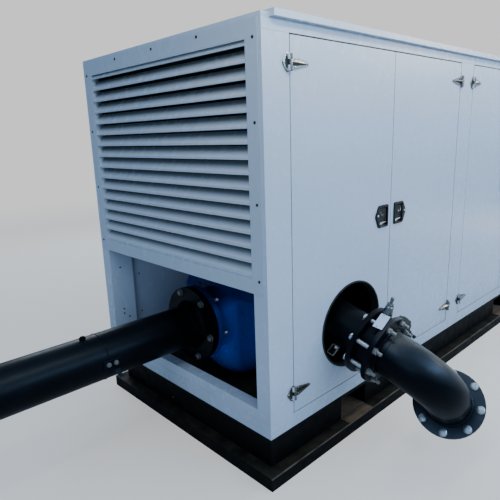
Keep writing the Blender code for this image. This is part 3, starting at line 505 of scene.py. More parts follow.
def studio():
    """A pale room with cool light, warmer at the eaves and the far doors, and lamps behind."""
    world = bpy.data.worlds.new("studio")
    world.use_nodes = True
    g = Graph(world.node_tree)
    direction = g.node("ShaderNodeTexCoord").outputs["Generated"]
    amount = g.component(direction, (0.26, -0.93, 0.25))
    tint = g.mix(g.band(amount, -0.6, 1.0), (0.38, 0.62, 1.0), COOL)
    strength = g.band(amount, -0.6, 1.0, 0.08, 1.25)
    lighting = g.node("ShaderNodeBackground", {"Color": tint, "Strength": strength})
    backdrop = g.node("ShaderNodeBackground", {"Color": (*PALE, 1.0), "Strength": 1.0})
    seen = g.node("ShaderNodeLightPath").outputs["Is Camera Ray"]
    both = g.node("ShaderNodeMixShader", {0: seen, 1: lighting.outputs[0], 2: backdrop.outputs[0]})
    g.tree.links.new(both.outputs[0], g.tree.nodes["World Output"].inputs["Surface"])
    bpy.context.scene.world = world
    area_light("front", (0.8, -5.2, 3.1), (0.0, -0.7, 1.1), (5.0, 0.5), 128.0, COOL)
    area_light("sky_left", (-5.7, -1.3, 5.4), (-1.2, -0.8, 0.6), (1.8, 1.8), 52.0, (0.46, 0.68, 1.0))
    area_light("low_left", (-5.2, -2.8, 1.2), (-1.5, 0.2, 0.6), (2.5, 1.6), 27.0, COOL)
    area_light("eaves", (-0.2, -1.12, 2.42), (-0.2, -0.71, 1.95), (5.4, 0.16), 27.0, (1.0, 0.92, 0.78))
    area_light("sun_side", (4.8, -3.6, 3.2), (1.5, -0.7, 1.7), (1.6, 1.2), 38.0, (1.0, 0.86, 0.66))
    area_light("back", (1.2, 5.6, 3.2), (0.0, 0.7, 1.1), (4.5, 1.4), 120.0, DAYLIGHT)
    area_light("far_end", (6.2, 1.0, 2.6), (1.75, 0.0, 1.1), (2.2, 1.4), 48.0, DAYLIGHT)
    area_light("glow", (4.2, -2.0, 0.06), (1.2, -0.7, 0.6), (3.4, 0.7), 10.0, (1.0, 0.86, 0.76))
    work = bmesh.new()
    bmesh.ops.create_grid(work, x_segments=8, y_segments=8, size=40.0)
    mesh = bpy.data.meshes.new("floor")
    work.to_mesh(mesh)
    work.free()
    mesh.materials.append(floor_paint())
    floor = add("floor", mesh)
    floor.location = (0, 0, cad_box[0][2])


class Shape:
    """Simple solids gathered into one mesh, in the part's own coordinates."""

    def __init__(self):
        self.work = bmesh.new()

    def ring(self, matrix, radius, height, steps):
        """Points on a circle round the local Z, or one point where the radius is nothing."""
        points = []
        for step in range(steps if radius > 1e-6 else 1):
            angle = math.tau * step / steps
            spot = Vector((radius * math.cos(angle), radius * math.sin(angle), height))
            points.append(self.work.verts.new(matrix @ spot))
        return points

    def lathe(self, outline, place, axis=UP, steps=24, roll=0.0, closed=False):
        """Turns (radius, height) pairs about an axis. Six steps make a hexagon."""
        matrix = aimed(place, axis) @ Matrix.Rotation(roll, 4, "Z")
        rings = [self.ring(matrix, radius, height, steps) for radius, height in outline]
        if closed:
            rings.append(rings[0])
        self.skin(rings, steps)

    def skin(self, rings, steps):
        """Joins each ring of points to the next with faces."""
        for lower, upper in zip(rings, rings[1:]):
            for step in range(steps):
                after = (step + 1) % steps
                turns = ((lower, step), (lower, after), (upper, after), (upper, step))
                loop = list(dict.fromkeys(ring[place % len(ring)] for ring, place in turns))
                if len(loop) > 2:
                    self.work.faces.new(loop)

    def prism(self, outline, low, high, matrix, inner=None):
        """A flat outline with a thickness, and with a hole if an inner outline is given."""
        def row(points, level):
            return [self.work.verts.new(matrix @ Vector((x, y, level))) for x, y in points]

        count = len(outline)
        bottom, top = row(outline, low), row(outline, high)
        if inner is None:
            self.work.faces.new(bottom[::-1])
            self.work.faces.new(top)
            self.skin([bottom, top], count)
            return
        hole_bottom, hole_top = row(inner, low), row(inner, high)
        self.skin([bottom, top, hole_top, hole_bottom, bottom], count)

    def block(self, corner, opposite):
        """A box between two opposite corners, in any order."""
        spans = [sorted(pair) for pair in zip(corner, opposite)]
        (left, right), (front, back), (low, high) = spans
        outline = [(left, front), (right, front), (right, back), (left, back)]
        self.prism(outline, low, high, Matrix.Identity(4))

    def sweep(self, points, radii, sides=10):
        """A round bar through points, with a radius for each."""
        points = [Vector(point) for point in points]
        rings = []
        for index, point in enumerate(points):
            ahead = points[min(index + 1, len(points) - 1)]
            behind = points[max(index - 1, 0)]
            rings.append(self.ring(aimed(point, ahead - behind), radii[index], 0, sides))
        self.skin(rings, sides)
        self.work.faces.new(rings[0][::-1])
        self.work.faces.new(rings[-1])

    def bead(self, place, axis, radius, thickness, steps=96, ripple=0.14):
        """A weld bead round a pipe, with the ripples that the welder leaves."""
        matrix = aimed(place, axis)
        rings = []
        for step in range(steps):
            angle = math.tau * step / steps
            size = thickness * (1.0 + ripple * math.sin(step * 2.4) + 0.08 * math.sin(step * 0.7))
            ring = []
            for corner in range(8):
                turn = math.tau * corner / 8
                reach = radius + size * math.cos(turn)
                spot = (reach * math.cos(angle), reach * math.sin(angle), size * math.sin(turn))
                ring.append(self.work.verts.new(matrix @ Vector(spot)))
            rings.append(ring)
        rings.append(rings[0])
        self.skin(rings, 8)

    def bolt(self, place, axis, size, washer=True, roll=0.3):
        """A hexagon head of a bolt of the given thread size, on its washer, standing on place."""
        base = 0.15 * size if washer else 0.0
        if washer:
            ring = [(0, 0), (0.93 * size, 0), (0.93 * size, base * 0.7)]
            self.lathe(ring + [(0.87 * size, base), (0, base)], place, axis, 24)
        head = ((0, 0.63), (0.68, 0.63), (0.85, 0.54), (0.86, 0.05), (0.78, 0), (0, 0))
        head = [(radius * size, base + height * size) for radius, height in head]
        self.lathe(head, place, axis, 6, roll)

    def stud(self, place, axis, size, nut_height, length, roll=0.7):
        """A nut on its washer, with the threaded end that stands out of it."""
        base = 0.15 * size
        self.lathe([(0, 0), (0.93 * size, 0), (0.93 * size, base), (0, base)], place, axis, 24)
        high = base + nut_height
        rim = 0.08 * size
        nut = [(0.5, high), (0.70, high), (0.85, high - rim), (0.85, base + rim)]
        nut = [(radius * size, level) for radius, level in nut + [(0.72, base), (0.5, base)]]
        self.lathe(nut, place, axis, 6, roll)
        pitch = 0.125 * size
        thread = []
        level = high - 0.2 * size
        while level < length - pitch:
            thread += [(0.5 * size, level), (0.44 * size, level + pitch / 2)]
            level += pitch
        thread += [(0.5 * size, level), (0.40 * size, length), (0, length)]
        self.lathe(thread, place, axis, 14)

    def done(self, name, surface, body="unit", smooth=40.0, edge=0.0, slot=None):
        """Makes the object, with its surface, on a body. The slot argument is not used."""
        bmesh.ops.recalc_face_normals(self.work, faces=self.work.faces)
        mesh = bpy.data.meshes.new(name)
        self.work.to_mesh(mesh)
        self.work.free()
        mesh.materials.append(surface)
        mesh.shade_smooth()
        mesh.set_sharp_from_angle(angle=math.radians(smooth))
        item = add(name, mesh)
        if edge:
            soften(item, edge, 35)
            even_normals(item)
        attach(item, body)


def aimed(place, axis):
    """A matrix that puts the local Z along an axis."""
    turn = Vector(axis).to_track_quat("Z", "Y").to_matrix().to_4x4()
    return Matrix.Translation(place) @ turn


def facing(centre, across, upward):
    """A matrix whose X and Y lie in a face and whose Z stands out of it."""
    across, upward = Vector(across).normalized(), Vector(upward).normalized()
    turn = Matrix((across, upward, across.cross(upward))).transposed().to_4x4()
    return Matrix.Translation(centre) @ turn


# The discharge line's axis, as in the solids. It leaves the front face at OUTLET
TILT = math.radians(15.9)
YAW = math.radians(0.9)
OUT = Vector((math.sin(YAW) * math.cos(TILT), -math.cos(YAW) * math.cos(TILT), -math.sin(TILT)))
SIDE = UP.cross(OUT).normalized()
RISE = OUT.cross(SIDE)
OUTLET = Vector((0.558 - END_X, -SIDE_Y, 0.626))
ROLL = math.radians(42.1)
BEND = SIDE * math.cos(ROLL) - RISE * math.sin(ROLL)
TURN_START = OUTLET + OUT * 0.26
TURN_END = TURN_START + (OUT + BEND) * 0.236
MOUTH = TURN_END + BEND * 0.162
SUCTION = Vector((-END_X, 0.0, 0.583))
# The radii of the bolt circles
CIRCLE = 0.1475
SUCTION_CIRCLE = 0.179


def about(centre, axis_up, axis_side, radius, degrees):
    """A point on a circle, with the angle measured from axis_up towards axis_side."""
    angle = math.radians(degrees)
    return centre + radius * (axis_up * math.cos(angle) + axis_side * math.sin(angle))


def suction_fasteners():
    """Bolts, nuts and gasket of the large flange, set out along X from the end face."""
    heads, ends, gasket = Shape(), Shape(), Shape()
    for step in range(6):
        spot = about(SUCTION, UP, FRONT, SUCTION_CIRCLE, 60 * step - 21)
        heads.bolt(spot + ALONG * 0.1127, -ALONG, 0.020, roll=0.2 + step)
        ends.stud(spot + ALONG * 0.179, ALONG, 0.020, 0.016, 0.042, roll=step * 1.3)
    heads.done("suction_flange_bolts", DULL)
    ends.done("suction_flange_nuts", ZINC)
    section = [(0.165, 0.1482), (0.165, 0.1495), (0.104, 0.1495), (0.104, 0.1482)]
    gasket.lathe(section, SUCTION, ALONG, 48, closed=True)
    gasket.done("suction_gasket", RUBBER)


def discharge_fasteners():
    """Bolts of the valve, the nozzle and the elbow's mouth, set out along the line from OUTLET."""
    heads, shanks, ends, inner = Shape(), Shape(), Shape(), Shape()
    for step in range(8):
        angle = 22.5 + 45 * step
        spot = about(OUTLET, RISE, SIDE, CIRCLE, angle)
        heads.bolt(spot + OUT * 0.113, -OUT, 0.020, roll=0.5 * step)
        shanks.lathe([(0.010, 0.1368), (0.010, 0.2032)], spot, OUT, 16)
        ends.stud(spot + OUT * 0.227, OUT, 0.0175, 0.015, 0.040, roll=0.9 * step)
        inner.bolt(spot - OUT * 0.2007, OUT, 0.020, roll=1.1 * step)
        inner.stud(spot - OUT * 0.249, -OUT, 0.020, 0.016, 0.036, roll=0.4 * step)
    heads.done("valve_bolt_heads", ZINC)
    shanks.done("valve_bolt_shanks", ZINC)
    ends.done("valve_bolt_nuts", MID_GREY_ZINC)
    inner.done("nozzle_bolts", DULL)
    caps = Shape()
    level = OUT - BEND * OUT.dot(BEND)
    level.normalize()
    beside = BEND.cross(level)
    for step in range(8):
        spot = about(MOUTH - BEND * 0.024, level, beside, CIRCLE, 24 + 45 * step)
        outline = [(0, 0), (0.0200, 0), (0.0205, 0.002), (0.0205, 0.006), (0.0185, 0.0095)]
        outline += [(0.0150, 0.0125), (0.0080, 0.0145), (0, 0.015)]
        caps.lathe(outline, spot, -BEND, 32)
    caps.done("outlet_bolt_caps", ZINC)


def valve_details():
    """The bare plate on the valve, and the two legs that it is riveted to."""
    plate, legs = Shape(), Shape()
    normal = about(Vector(), RISE, SIDE, 1.0, -20.1)
    turn = math.radians(9.4)
    around = OUT.cross(normal) * math.cos(turn) + OUT * math.sin(turn)
    middle = OUTLET + OUT * 0.1844 + normal * 0.1712
    matrix = facing(middle, around, normal.cross(around))
    plate.prism(rounded(0.046, 0.0225, 0.003), 0.0, 0.0016, matrix)
    plate.done("bare_valve_plate", PLATE, edge=0.0005)
    for sign in (-1, 1):
        foot = matrix @ Vector((sign * 0.038, -0.006, 0.0))
        legs.lathe([(0.004, -0.040), (0.004, 0.0)], foot, normal, 10)
        legs.lathe([(0.0032, 0.0016), (0.0028, 0.0026), (0, 0.0030)], foot, normal, 12)
    legs.done("plate_rivets", PLATED)


def rounded(half_x, half_y, radius, steps=4):
    """The outline of a rectangle with rounded corners."""
    points = []
    for corner, (sign_x, sign_y) in enumerate(((1, 1), (-1, 1), (-1, -1), (1, -1))):
        for step in range(steps + 1):
            angle = math.radians(90 * corner + 90 * step / steps)
            x = sign_x * (half_x - radius) + radius * math.cos(angle)
            y = sign_y * (half_y - radius) + radius * math.sin(angle)
            points.append((x, y))
    return points


def welds():
    """Beads on the suction line, the discharge line and the elbow."""
    beads = Shape()
    beads.bead(SUCTION + ALONG * 0.0675, ALONG, 0.1090, 0.0030)
    beads.bead(SUCTION - ALONG * 0.42, ALONG, 0.1088, 0.0028)
    beads.bead(OUTLET + OUT * 0.112, OUT, 0.1095, 0.0045)
    beads.bead(OUTLET + OUT * 0.2285, OUT, 0.1100, 0.0060)
    beads.bead(TURN_START, OUT, 0.1088, 0.0022)
    beads.bead(TURN_END, BEND, 0.1088, 0.0022)
    beads.bead(MOUTH - BEND * 0.026, BEND, 0.1105, 0.0065)
    beads.done("pipe_welds", PIPE, smooth=80)


def pipe_lugs():
    """The lug on top of the suction pipe, and the bolted pad with its gusset on the near side."""
    lug = Shape()
    outline = [(-0.016, -0.004), (0.016, -0.004), (0.014, 0.008)]
    outline += [(0.006, 0.014), (-0.006, 0.014), (-0.014, 0.008)]
    spot = SUCTION + Vector((-0.486, 0, 0.1095))
    lug.prism(outline, -0.005, 0.005, facing(spot, ALONG, UP))
    lug.done("suction_pipe_lug", PIPE, edge=0.0015)
    pad = Shape()
    centre = SUCTION + Vector((-0.408, -0.1065, -0.006))
    pad.prism(rounded(0.044, 0.024, 0.006), -0.006, 0.008, facing(centre, ALONG, UP))
    web = [(0.0, 0.004), (0.034, 0.016), (0.034, -0.034), (0.020, -0.040)]
    place = SUCTION + Vector((-0.400, -0.1000, -0.045))
    pad.prism(web, -0.003, 0.003, facing(place, ALONG, (0, 0.55, 0.83)))
    pad.done("suction_pipe_pad", PIPE, edge=0.0015)
    bolts = Shape()
    for shift in (-0.018, 0.018):
        bolts.bolt(centre + Vector((shift, -0.008, 0.004)), FRONT, 0.012, roll=shift * 40)
    bolts.done("suction_pad_bolts", DULL)


def outlet_bracket():
    """A lug with worn edges on the discharge pipe, and its bolt, seen in the door's cut-out."""
    edges, lug, bolt = Shape(), Shape(), Shape()
    radial = about(Vector(), RISE, SIDE, 1.0, -131.0)
    centre = OUTLET + OUT * 0.014 + radial * 0.1365
    matrix = facing(centre, radial, OUT)
    edges.prism(rounded(0.028, 0.020, 0.005), -0.0022, 0.0022, matrix)
    edges.done("outlet_lug_edges", DULL)
    lug.prism(rounded(0.0235, 0.0155, 0.003), -0.0032, 0.0032, matrix)
    lug.done("outlet_lug", PIPE, edge=0.0008)
    normal = matrix.col[2].to_3d()
    spot = centre - radial * 0.017 + OUT * 0.006
    for sign in (-1, 1):
        bolt.bolt(spot + normal * 0.0032 * sign, normal * sign, 0.010)
    bolt.done("outlet_lug_bolt", ZINC)


def gearbox_details():
    """The square flange under the gearbox, its bolts, and the cap and screws of its cover."""
    lift = math.radians(9.0)
    stem = SIDE * math.cos(lift) + RISE * math.sin(lift)
    middle = OUTLET + OUT * 0.17
    across = stem.cross(OUT)
    flange, screws, cap = Shape(), Shape(), Shape()
    matrix = facing(middle + stem * 0.192, OUT, across)
    flange.prism(rounded(0.030, 0.030, 0.010), 0.0, 0.0095, matrix)
    flange.done("valve_top_flange", OLIVE, edge=0.001)
    for sign_x in (-1, 1):
        for sign_y in (-1, 1):
            spot = matrix @ Vector((sign_x * 0.022, sign_y * 0.022, 0.0))
            screws.bolt(spot, -stem, 0.008, roll=sign_x)
    top = middle + stem * (0.132 + 0.070 + 0.0003 + 0.058)
    screws.bolt(top, stem, 0.014, roll=0.4)
    for step in range(4):
        spot = about(top - stem * 0.014, OUT, across, 0.0395, 45 + 90 * step)
        screws.bolt(spot, stem, 0.006, washer=False, roll=step)
    screws.done("gearbox_bolts", DULL)
    barrel = middle + stem * (0.2023 + 0.024) + across * 0.028
    cap.lathe([(0.0192, -0.0495), (0.0192, -0.044), (0.0165, -0.043)], barrel, OUT, 28)
    cap.lathe([(0, -0.0515), (0.015, -0.0515), (0.0192, -0.0495)], barrel, OUT, 28)
    cap.lathe([(0.0192, 0.044), (0.0192, 0.0495), (0.014, 0.0515), (0.0105, 0.052)], barrel, OUT, 28)
    cap.lathe([(0.0125, 0.0515), (0.0125, 0.058), (0.0092, 0.060)], barrel, OUT, 20)
    cap.done("gearbox_end_caps", OLIVE)


def bleed_details():
    """The hexagons and the small lever of the bleed fitting."""
    lean = math.radians(3.0)
    axis = RISE * math.cos(lean) + SIDE * math.sin(lean)
    foot = OUTLET + OUT * 0.17
    parts = Shape()
    for low, high, radius in ((0.134, 0.148, 0.0190), (0.169, 0.184, 0.0245), (0.217, 0.226, 0.0165)):
        chamfer = 0.0015
        outline = [(0.010, low), (radius - chamfer, low), (radius, low + chamfer)]
        outline += [(radius, high - chamfer), (radius - chamfer, high), (0.010, high)]
        parts.lathe(outline, foot, axis, 6, 0.4)
    tip = foot + axis * 0.249
    handle = OUT.cross(axis).normalized()
    parts.sweep([tip - handle * 0.0115, tip + handle * 0.0115], [0.0028, 0.0028], 10)
    parts.done("bleed_fitting_details", PLATED, edge=0.0004)


# The X of both edges of each door, and the doors that meet without a post
DOORS = {1: (-1.600, -0.8315), 2: (-0.8265, -0.0915), 3: (0.0915, 0.8265), 4: (0.8315, 1.600)}
PAIRS = (("near", 1, 2), ("far", 3, 4))
HINGE_LEVELS = (0.436, 1.836)
LATCH_LEVEL = 1.141


def door_facts(number):
    """The sign of the hinge side, the pin's X and the latch's X of a door."""
    low, high = DOORS[number]
    sign = -1 if number in (1, 3) else 1
    if sign < 0:
        return sign, low - 0.0065, high - 0.0715
    return sign, high + 0.0065, low + 0.0715


def on_side(centre, sign, side):
    """Local X runs to one side, Y up, and Z out of the front or the back."""
    turn = Matrix(((sign, 0, 0), (0, 0, side), (0, 1, 0))).to_4x4()
    return Matrix.Translation(centre) @ turn


def mirrored(half):
    """A whole outline from its upper half."""
    return half + [(x, -y) for x, y in half[-2::-1]]


def hinge_cover(name, pin_x, sign, side, level):
    """Metal over the fixed half of a hinge: a pointed plate, a black oval on it as painted shade for
    its hollow, and the outer knuckles.
    """
    plate, well, barrel = Shape(), Shape(), Shape()
    face = side * SIDE_Y
    matrix = on_side((pin_x, face, level), sign, side)
    half = [(0.001, 0.0345), (0.012, 0.0370), (0.018, 0.0335)]
    half += [(0.030, 0.0190), (0.0395, 0.0060), (0.0410, 0.0)]
    plate.prism(mirrored(half), 0.0002, 0.0042, matrix)
    for x, y, radius in ((0.0130, -0.0300, 0.0042), (0.0130, 0.0300, 0.0042), (0.0335, 0, 0.0040)):
        head = [(radius, 0), (radius - 0.0006, 0.0014), (0, 0.0018)]
        plate.lathe(head, matrix @ Vector((x, y, 0.0042)), (0, side, 0), 14)
    plate.done(name, CHROME, edge=0.0007)
    # Painted shade: a thin black oval stands for the shade in the plate's hollow.
    oval = []
    for step in range(20):
        angle = math.tau * step / 20
        oval.append((0.0175 + 0.0095 * math.cos(angle), 0.0225 * math.sin(angle)))
    well.prism(oval, 0.0041, 0.0048, matrix)
    well.done(f"{name}_well", LATCH)
    pin = Vector((pin_x, face + side * 0.010, level))
    for end in (-1, 1):
        sleeve = [(0.0066, 0.0108), (0.0078, 0.0112), (0.0078, 0.0305), (0.0066, 0.0318)]
        barrel.lathe(sleeve + [(0.0, 0.0322)], pin, (0, 0, end), 20)
    barrel.done(f"{name}_barrel", DULL, slot="hinge_bright")


# The ridge of a strap: how far from the pin, half its width, and its height
RIDGE = [(0.006, 0.0150, 0.0105), (0.020, 0.0120, 0.0110), (0.045, 0.0105, 0.0090)]
RIDGE += [(0.085, 0.0060, 0.0050), (0.098, 0.0030, 0.0016)]


def hinge_ridge(name, pin_x, sign, side, level, body, lift):
    """The raised ridge along a hinge strap, and its screws."""
    shape = Shape()
    face = side * (SIDE_Y + lift)
    rows = []
    for reach, half, high in RIDGE:
        row = []
        for across, up in ((-half, 0.0), (-half * 0.05, high), (half * 0.25, high), (half, 0.0)):
            spot = (pin_x - sign * reach, face + side * up, level + across)
            row.append(shape.work.verts.new(spot))
        rows.append(row)
    shape.skin(rows, 4)
    shape.work.faces.new(rows[0][::-1])
    shape.work.faces.new(rows[-1])
    for reach, rise in ((0.030, 0.0155), (0.030, -0.0155), (0.107, 0.0)):
        spot = (pin_x - sign * reach, face, level + rise)
        shape.lathe([(0.0040, 0), (0.0034, 0.0013), (0, 0.0017)], spot, (0, side, 0), 14)
    shape.done(name, CHROME, body, edge=0.0006)


def strap_cover(name, pin_x, sign, side, level, body):
    """Bright metal over the painted strap and barrel of a back hinge."""
    shape = Shape()
    matrix = on_side((pin_x, side * SIDE_Y, level), -sign, side)
    half = [(0.006, 0.0110), (0.0135, 0.0110), (0.0220, 0.0232)]
    half += [(0.0380, 0.0232), (0.1140, 0.0070), (0.1210, 0.0)]
    shape.prism(mirrored(half), 0.0002, 0.0046, matrix)
    pin = (pin_x, side * (SIDE_Y + 0.010), level)
    shape.lathe([(0, -0.0325), (0.0100, -0.0318), (0.0100, 0.0318), (0, 0.0325)], pin, UP, 24)
    shape.done(name, CHROME, body, edge=0.0007)


def rounded_corners(points, radius, steps=5):
    """An outline with each corner replaced by a curve that starts and ends a radius from it."""
    outline = []
    count = len(points)
    for index, point in enumerate(points):
        corner = Vector(point)
        before = Vector(points[index - 1])
        after = Vector(points[(index + 1) % count])
        start = corner + (before - corner).normalized() * radius
        end = corner + (after - corner).normalized() * radius
        for step in range(steps + 1):
            part = step / steps
            spot = (1 - part) ** 2 * start + 2 * part * (1 - part) * corner + part ** 2 * end
            outline.append((spot.x, spot.y))
    return outline


def latch_place(number, side):
    """The name of a door's latch, and the matrix of its middle on the door's face."""
    sign, _, centre_x = door_facts(number)
    tag = f"latch_{number}" if side < 0 else f"back_latch_{number}"
    return tag, on_side((centre_x, side * SIDE_Y, LATCH_LEVEL), sign, side)


def latch(number, side, body):
    """The five-sided surround of a latch, the lining of its recess, its key cylinder and lip."""
    tag, matrix = latch_place(number, side)
    outer = [(-0.0455, 0.0600), (-0.0455, -0.0560), (0.0440, -0.0560)]
    outer = rounded_corners(outer + [(0.0740, 0.0060), (0.0440, 0.0600)], 0.011)
    inner = [(-0.0345, 0.0470), (-0.0345, -0.0470), (0.0345, -0.0470)]
    inner = rounded_corners(inner + [(0.0350, 0.0), (0.0345, 0.0470)], 0.005)
    surround = Shape()
    surround.prism(outer, 0.0002, 0.0060, matrix, inner)
    raised = [(x * 0.94, y * 0.95) for x, y in outer]
    surround.prism(raised, 0.0058, 0.0078, matrix, [(x * 1.03, y * 1.02) for x, y in inner])
    surround.done(f"{tag}_surround", LATCH, body, edge=0.0012)
    lining = Shape()
    wall, well, deep = (0.0366, 0.0486), (0.0356, 0.0476), -0.0235
    lining.prism(corners(*wall), deep, 0.0002, matrix, corners(*well))
    lining.prism(corners(*wall), deep, deep + 0.001, matrix)
    lining.done(f"{tag}_lining", LATCH, body)
    bright = Shape()
    key = matrix @ Vector((0.0550, 0.009, 0.0076))
    barrel = [(0.0056, 0), (0.0056, 0.0015), (0.0046, 0.0024), (0, 0.0024)]
    bright.lathe(barrel, key, (0, side, 0), 20)
    tray = [(0.031, -0.0340), (-0.031, -0.0340), (-0.0290, -0.0420)]
    tray += [(-0.0180, -0.0458), (0.0180, -0.0458), (0.0290, -0.0420)]
    bright.prism(tray, -0.0090, -0.0075, matrix)
    bright.done(f"{tag}_key_and_tray", BRIGHT, body, edge=0.0004)


def corners(half_x, half_y):
    """The outline of a rectangle about the origin."""
    return [(half_x, half_y), (-half_x, half_y), (-half_x, -half_y), (half_x, -half_y)]


def paddle_face(number, side, body):
    """The raised pull on a latch paddle. A back latch has its whole paddle here."""
    tag, matrix = latch_place(number, side)
    if side > 0:
        leaf = Shape()
        leaf.prism(shifted(0.0, 0.005, 0.0315, 0.0385), -0.006, 0.0, matrix)
        leaf.done(f"{tag}_paddle", LATCH, body, edge=0.0008)
    pull = Shape()
    pull.prism(shifted(0.002, 0.0245, 0.0265, 0.0165), 0.0, 0.0026, matrix)
    pull.prism(shifted(-0.020, -0.010, 0.0055, 0.020), 0.0, 0.0018, matrix)
    pull.prism([(-0.012, 0.004), (0.026, 0.004), (0.026, 0.001), (-0.012, -0.006)], 0.0, 0.0030, matrix)
    pull.done(f"{tag}_pull", LATCH, body, edge=0.0008)
    bright = Shape()
    across = (-0.027, -0.018, -0.009, 0.0, 0.009, 0.018, 0.027)
    crest = [(x, -0.0285 - 50.0 * x * x * abs(x)) for x in across]
    bright.prism([(-0.028, -0.0334), (0.028, -0.0334)] + crest[::-1], -0.0004, 0.0014, matrix)
    # Painted highlight: the V of bright metal stands for the light along the paddle's stamped rib.
    mark = ((0.0245, 0.0300, 0.0028), (0.0200, 0.0095, 0.0034), (-0.0060, 0.0100, 0.0034))
    bright.sweep([matrix @ Vector(point) for point in mark], [0.0007, 0.0014, 0.0008], 8)
    bright.done(f"{tag}_bright_edges", BRIGHT, body)


def shifted(x, y, half_x, half_y):
    """The outline of a rectangle about a point."""
    return [(x + across, y + up) for across, up in corners(half_x, half_y)]


def furniture():
    """Hinges and latches of the four front doors, which move, and of the back ones, which are shut."""
    for number in DOORS:
        sign, pin_x, _ = door_facts(number)
        leaf = f"door_leaf_{number}"
        for end, level in zip(("lower", "upper"), HINGE_LEVELS):
            halves = (("hinge", -1, leaf, 0.0048), ("back_hinge", 1, "unit", 0.0046))
            for kind, side, body, lift in halves:
                name, place = f"{kind}_{number}_{end}", (pin_x, sign, side, level)
                hinge_cover(f"{name}_post_half", *place)
                if side > 0:
                    strap_cover(f"{name}_strap", *place, body)
                hinge_ridge(f"{name}_ridge", *place, body, lift)
        latch(number, -1, leaf)
        paddle_face(number, -1, f"latch_{number}")
        latch(number, 1, "unit")
        paddle_face(number, 1, "unit")


# The middle of the oval opening in the first door, and half its width and height
CUTOUT_X, CUTOUT_Z = 0.597 - END_X, 0.633
CUTOUT_WIDE, CUTOUT_HIGH = 0.236, 0.212


def cutout_trim():
    """Black rubber edging pushed over the rim of the door's oval opening."""
    trim = Shape()
    steps = 96
    section = [(0.006, -0.0036), (0.004, -0.0050), (-0.001, -0.0050), (-0.0035, -0.0030)]
    section += [(-0.0035, 0.0400), (-0.001, 0.0415), (0.004, 0.0415), (0.006, 0.0400)]
    section += [(0.006, 0.0385), (0.0003, 0.0385), (0.0003, -0.0003), (0.006, -0.0003)]
    rings = []
    for step in range(steps):
        angle = math.tau * step / steps
        ring = []
        for beyond, deep in section:
            x = CUTOUT_X + (CUTOUT_WIDE + beyond) * math.cos(angle)
            z = CUTOUT_Z + (CUTOUT_HIGH + beyond) * math.sin(angle)
            ring.append(trim.work.verts.new((x, -SIDE_Y + deep, z)))
        rings.append(ring)
    rings.append(rings[0])
    trim.skin(rings, len(section))
    trim.done("cutout_rubber_trim", RUBBER, "door_leaf_1")


def louvre_flashings():
    """A strip behind the lower edge of each louvre's opening, under the lowest blade."""
    for tag, end in ENDS:
        strip = Shape()
        inner = (end * (END_X - 0.0030), 0.6240, 0.9975)
        strip.block((end * (END_X - 0.0004), -0.6240, 0.9850), inner)
        strip.done(f"louvre_flashing_{tag}", WHITE)


# The rivets' own pitch is a little under that of the blades
BLADE_COUNT = 16
RIVET_LEVEL, RIVET_PITCH = 1.019, 0.927 / 16


def louvre_fixings():
    """Pan-head screws round each louvre panel, and a column of rivets at each end of the blades."""
    for tag, end in ENDS:
        screws, rivets = Shape(), Shape()
        face = end * (END_X + 0.0033)
        places = [(y, z) for y in (-0.668, 0.668) for z in (0.983, 1.300, 1.615, 1.918)]
        places += [(y, 1.968) for y in (-0.338, 0.002, 0.342)]
        proud = 1.0 if end < 0 else 0.05  # the far screws are flush, inside the solids' box
        profile = ((0.0062, 0), (0.0060, 0.0018), (0.0040, 0.0032), (0.0012, 0.0034), (0, 0.0026))
        head = [(radius, height * proud) for radius, height in profile]
        for y, z in places:
            screws.lathe(head, (face, y, z), (end, 0, 0), 14)
        for index in range(BLADE_COUNT):
            level = RIVET_LEVEL + RIVET_PITCH * index
            for y in (-0.6345, 0.6345):
                outline = [(0.0030, 0), (0.0022, 0.0012 * proud), (0, 0.0015 * proud)]
                rivets.lathe(outline, (face, y, level), (end, 0, 0), 10)
        screws.done(f"louvre_screws_{tag}", LATCH)
        rivets.done(f"louvre_rivets_{tag}", WHITE)


def bay_fixings():
    """Small screws on the inner faces that show in the open bay, and a bolt on the skid's end."""
    dark = Shape()
    head = [(0.0055, 0), (0.0050, 0.0016), (0.0030, 0.0028), (0, 0.0030)]
    for x, z in ((-1.69, 0.53), (-1.69, 0.50), (-1.655, 0.47), (-1.69, 0.80)):
        dark.lathe(head, (x, 0.6298, z), FRONT, 12)
    for x, z in ((-1.54, 0.466), (-1.54, 0.72)):
        dark.lathe(head, (x, 0.6718, z), FRONT, 12)
    dark.done("bay_screws", LATCH)
    bolt = Shape()
    bolt.bolt((-END_X + 0.0600, 0.134, 0.113), -ALONG, 0.006, washer=False)
    bolt.done("skid_end_bolt", DULL)


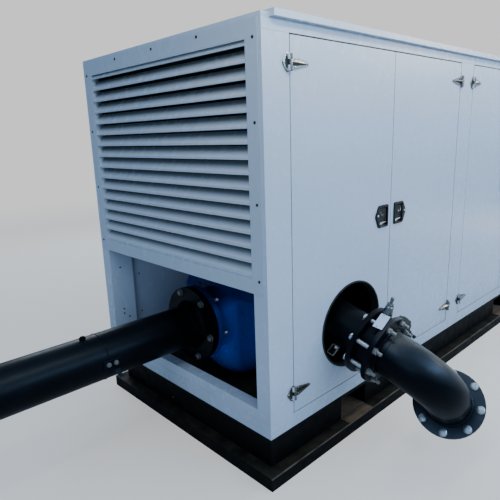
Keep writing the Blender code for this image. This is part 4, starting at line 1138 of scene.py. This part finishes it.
def door_seals():
    """Rubber strips on the frame, just behind the edges of the doors."""
    lap, reach, clear = 0.016, 0.004, 0.0008
    low, high = 0.331, 1.942
    for tag, side in SIDES:
        face = side * (SIDE_Y - 0.038 - clear)
        for pair, first, last in PAIRS:
            left, right = DOORS[first][0] - 0.005, DOORS[last][1] + 0.005
            strips = [(left, low, left + lap, high), (right - lap, low, right, high)]
            strips += [(left, low, right, low + lap), (left, high - lap, right, high)]
            if side > 0:
                seam = (DOORS[first][1] + DOORS[last][0]) / 2
                strips.append((seam - lap, low, seam + lap, high))
            seal = Shape()
            for x_low, z_low, x_high, z_high in strips:
                seal.block((x_low, face, z_low), (x_high, face - side * reach, z_high))
            seal.done(f"door_seal_{tag}_{pair}", RUBBER)


def header_joints():
    """The fine joint beside each header, across the head of the corner posts."""
    for tag, side in SIDES:
        line = Shape()
        for end in (-1, 1):
            outer = (end * (END_X - 0.002), side * (SIDE_Y + 0.0002), 1.9422)
            line.block((end * (END_X - 0.150), side * (SIDE_Y - 0.001), 1.9412), outer)
        line.done(f"header_joint_{tag}", JOINT)


def door_top_shade_strips():
    """A black strip under each header, a painted shade for the dark line over the doors."""
    for tag, side in SIDES:
        for pair, first, last in PAIRS:
            strip = Shape()
            inner = (DOORS[last][1] + 0.004, side * (SIDE_Y - 0.036), 1.9418)
            strip.block((DOORS[first][0] - 0.004, side * (SIDE_Y - 0.001), 1.9385), inner)
            strip.done(f"door_top_strip_{tag}_{pair}", RUBBER)


def pump_details():
    """The rim bolts of the casing cover, and its two plugs."""
    bolts, plugs = Shape(), Shape()
    for step in range(12):
        spot = about(SUCTION, UP, FRONT, 0.215, 30 * step + 15)
        bolts.bolt(spot + ALONG * 0.3098, -ALONG, 0.012, roll=step)
    bolts.done("casing_cover_bolts", BLUE)
    for degrees in (0, 180):
        radial = about(Vector(), UP, FRONT, 1.0, degrees)
        plugs.bolt(SUCTION + ALONG * 0.47 + radial * 0.369, radial, 0.018)
    plugs.done("casing_plugs", PLATED)


camera()
studio()
dress_nodes()
suction_fasteners()
discharge_fasteners()
valve_details()
welds()
pipe_lugs()
outlet_bracket()
gearbox_details()
bleed_details()
furniture()
cutout_trim()
louvre_flashings()
louvre_fixings()
bay_fixings()
door_seals()
header_joints()
door_top_shade_strips()
pump_details()
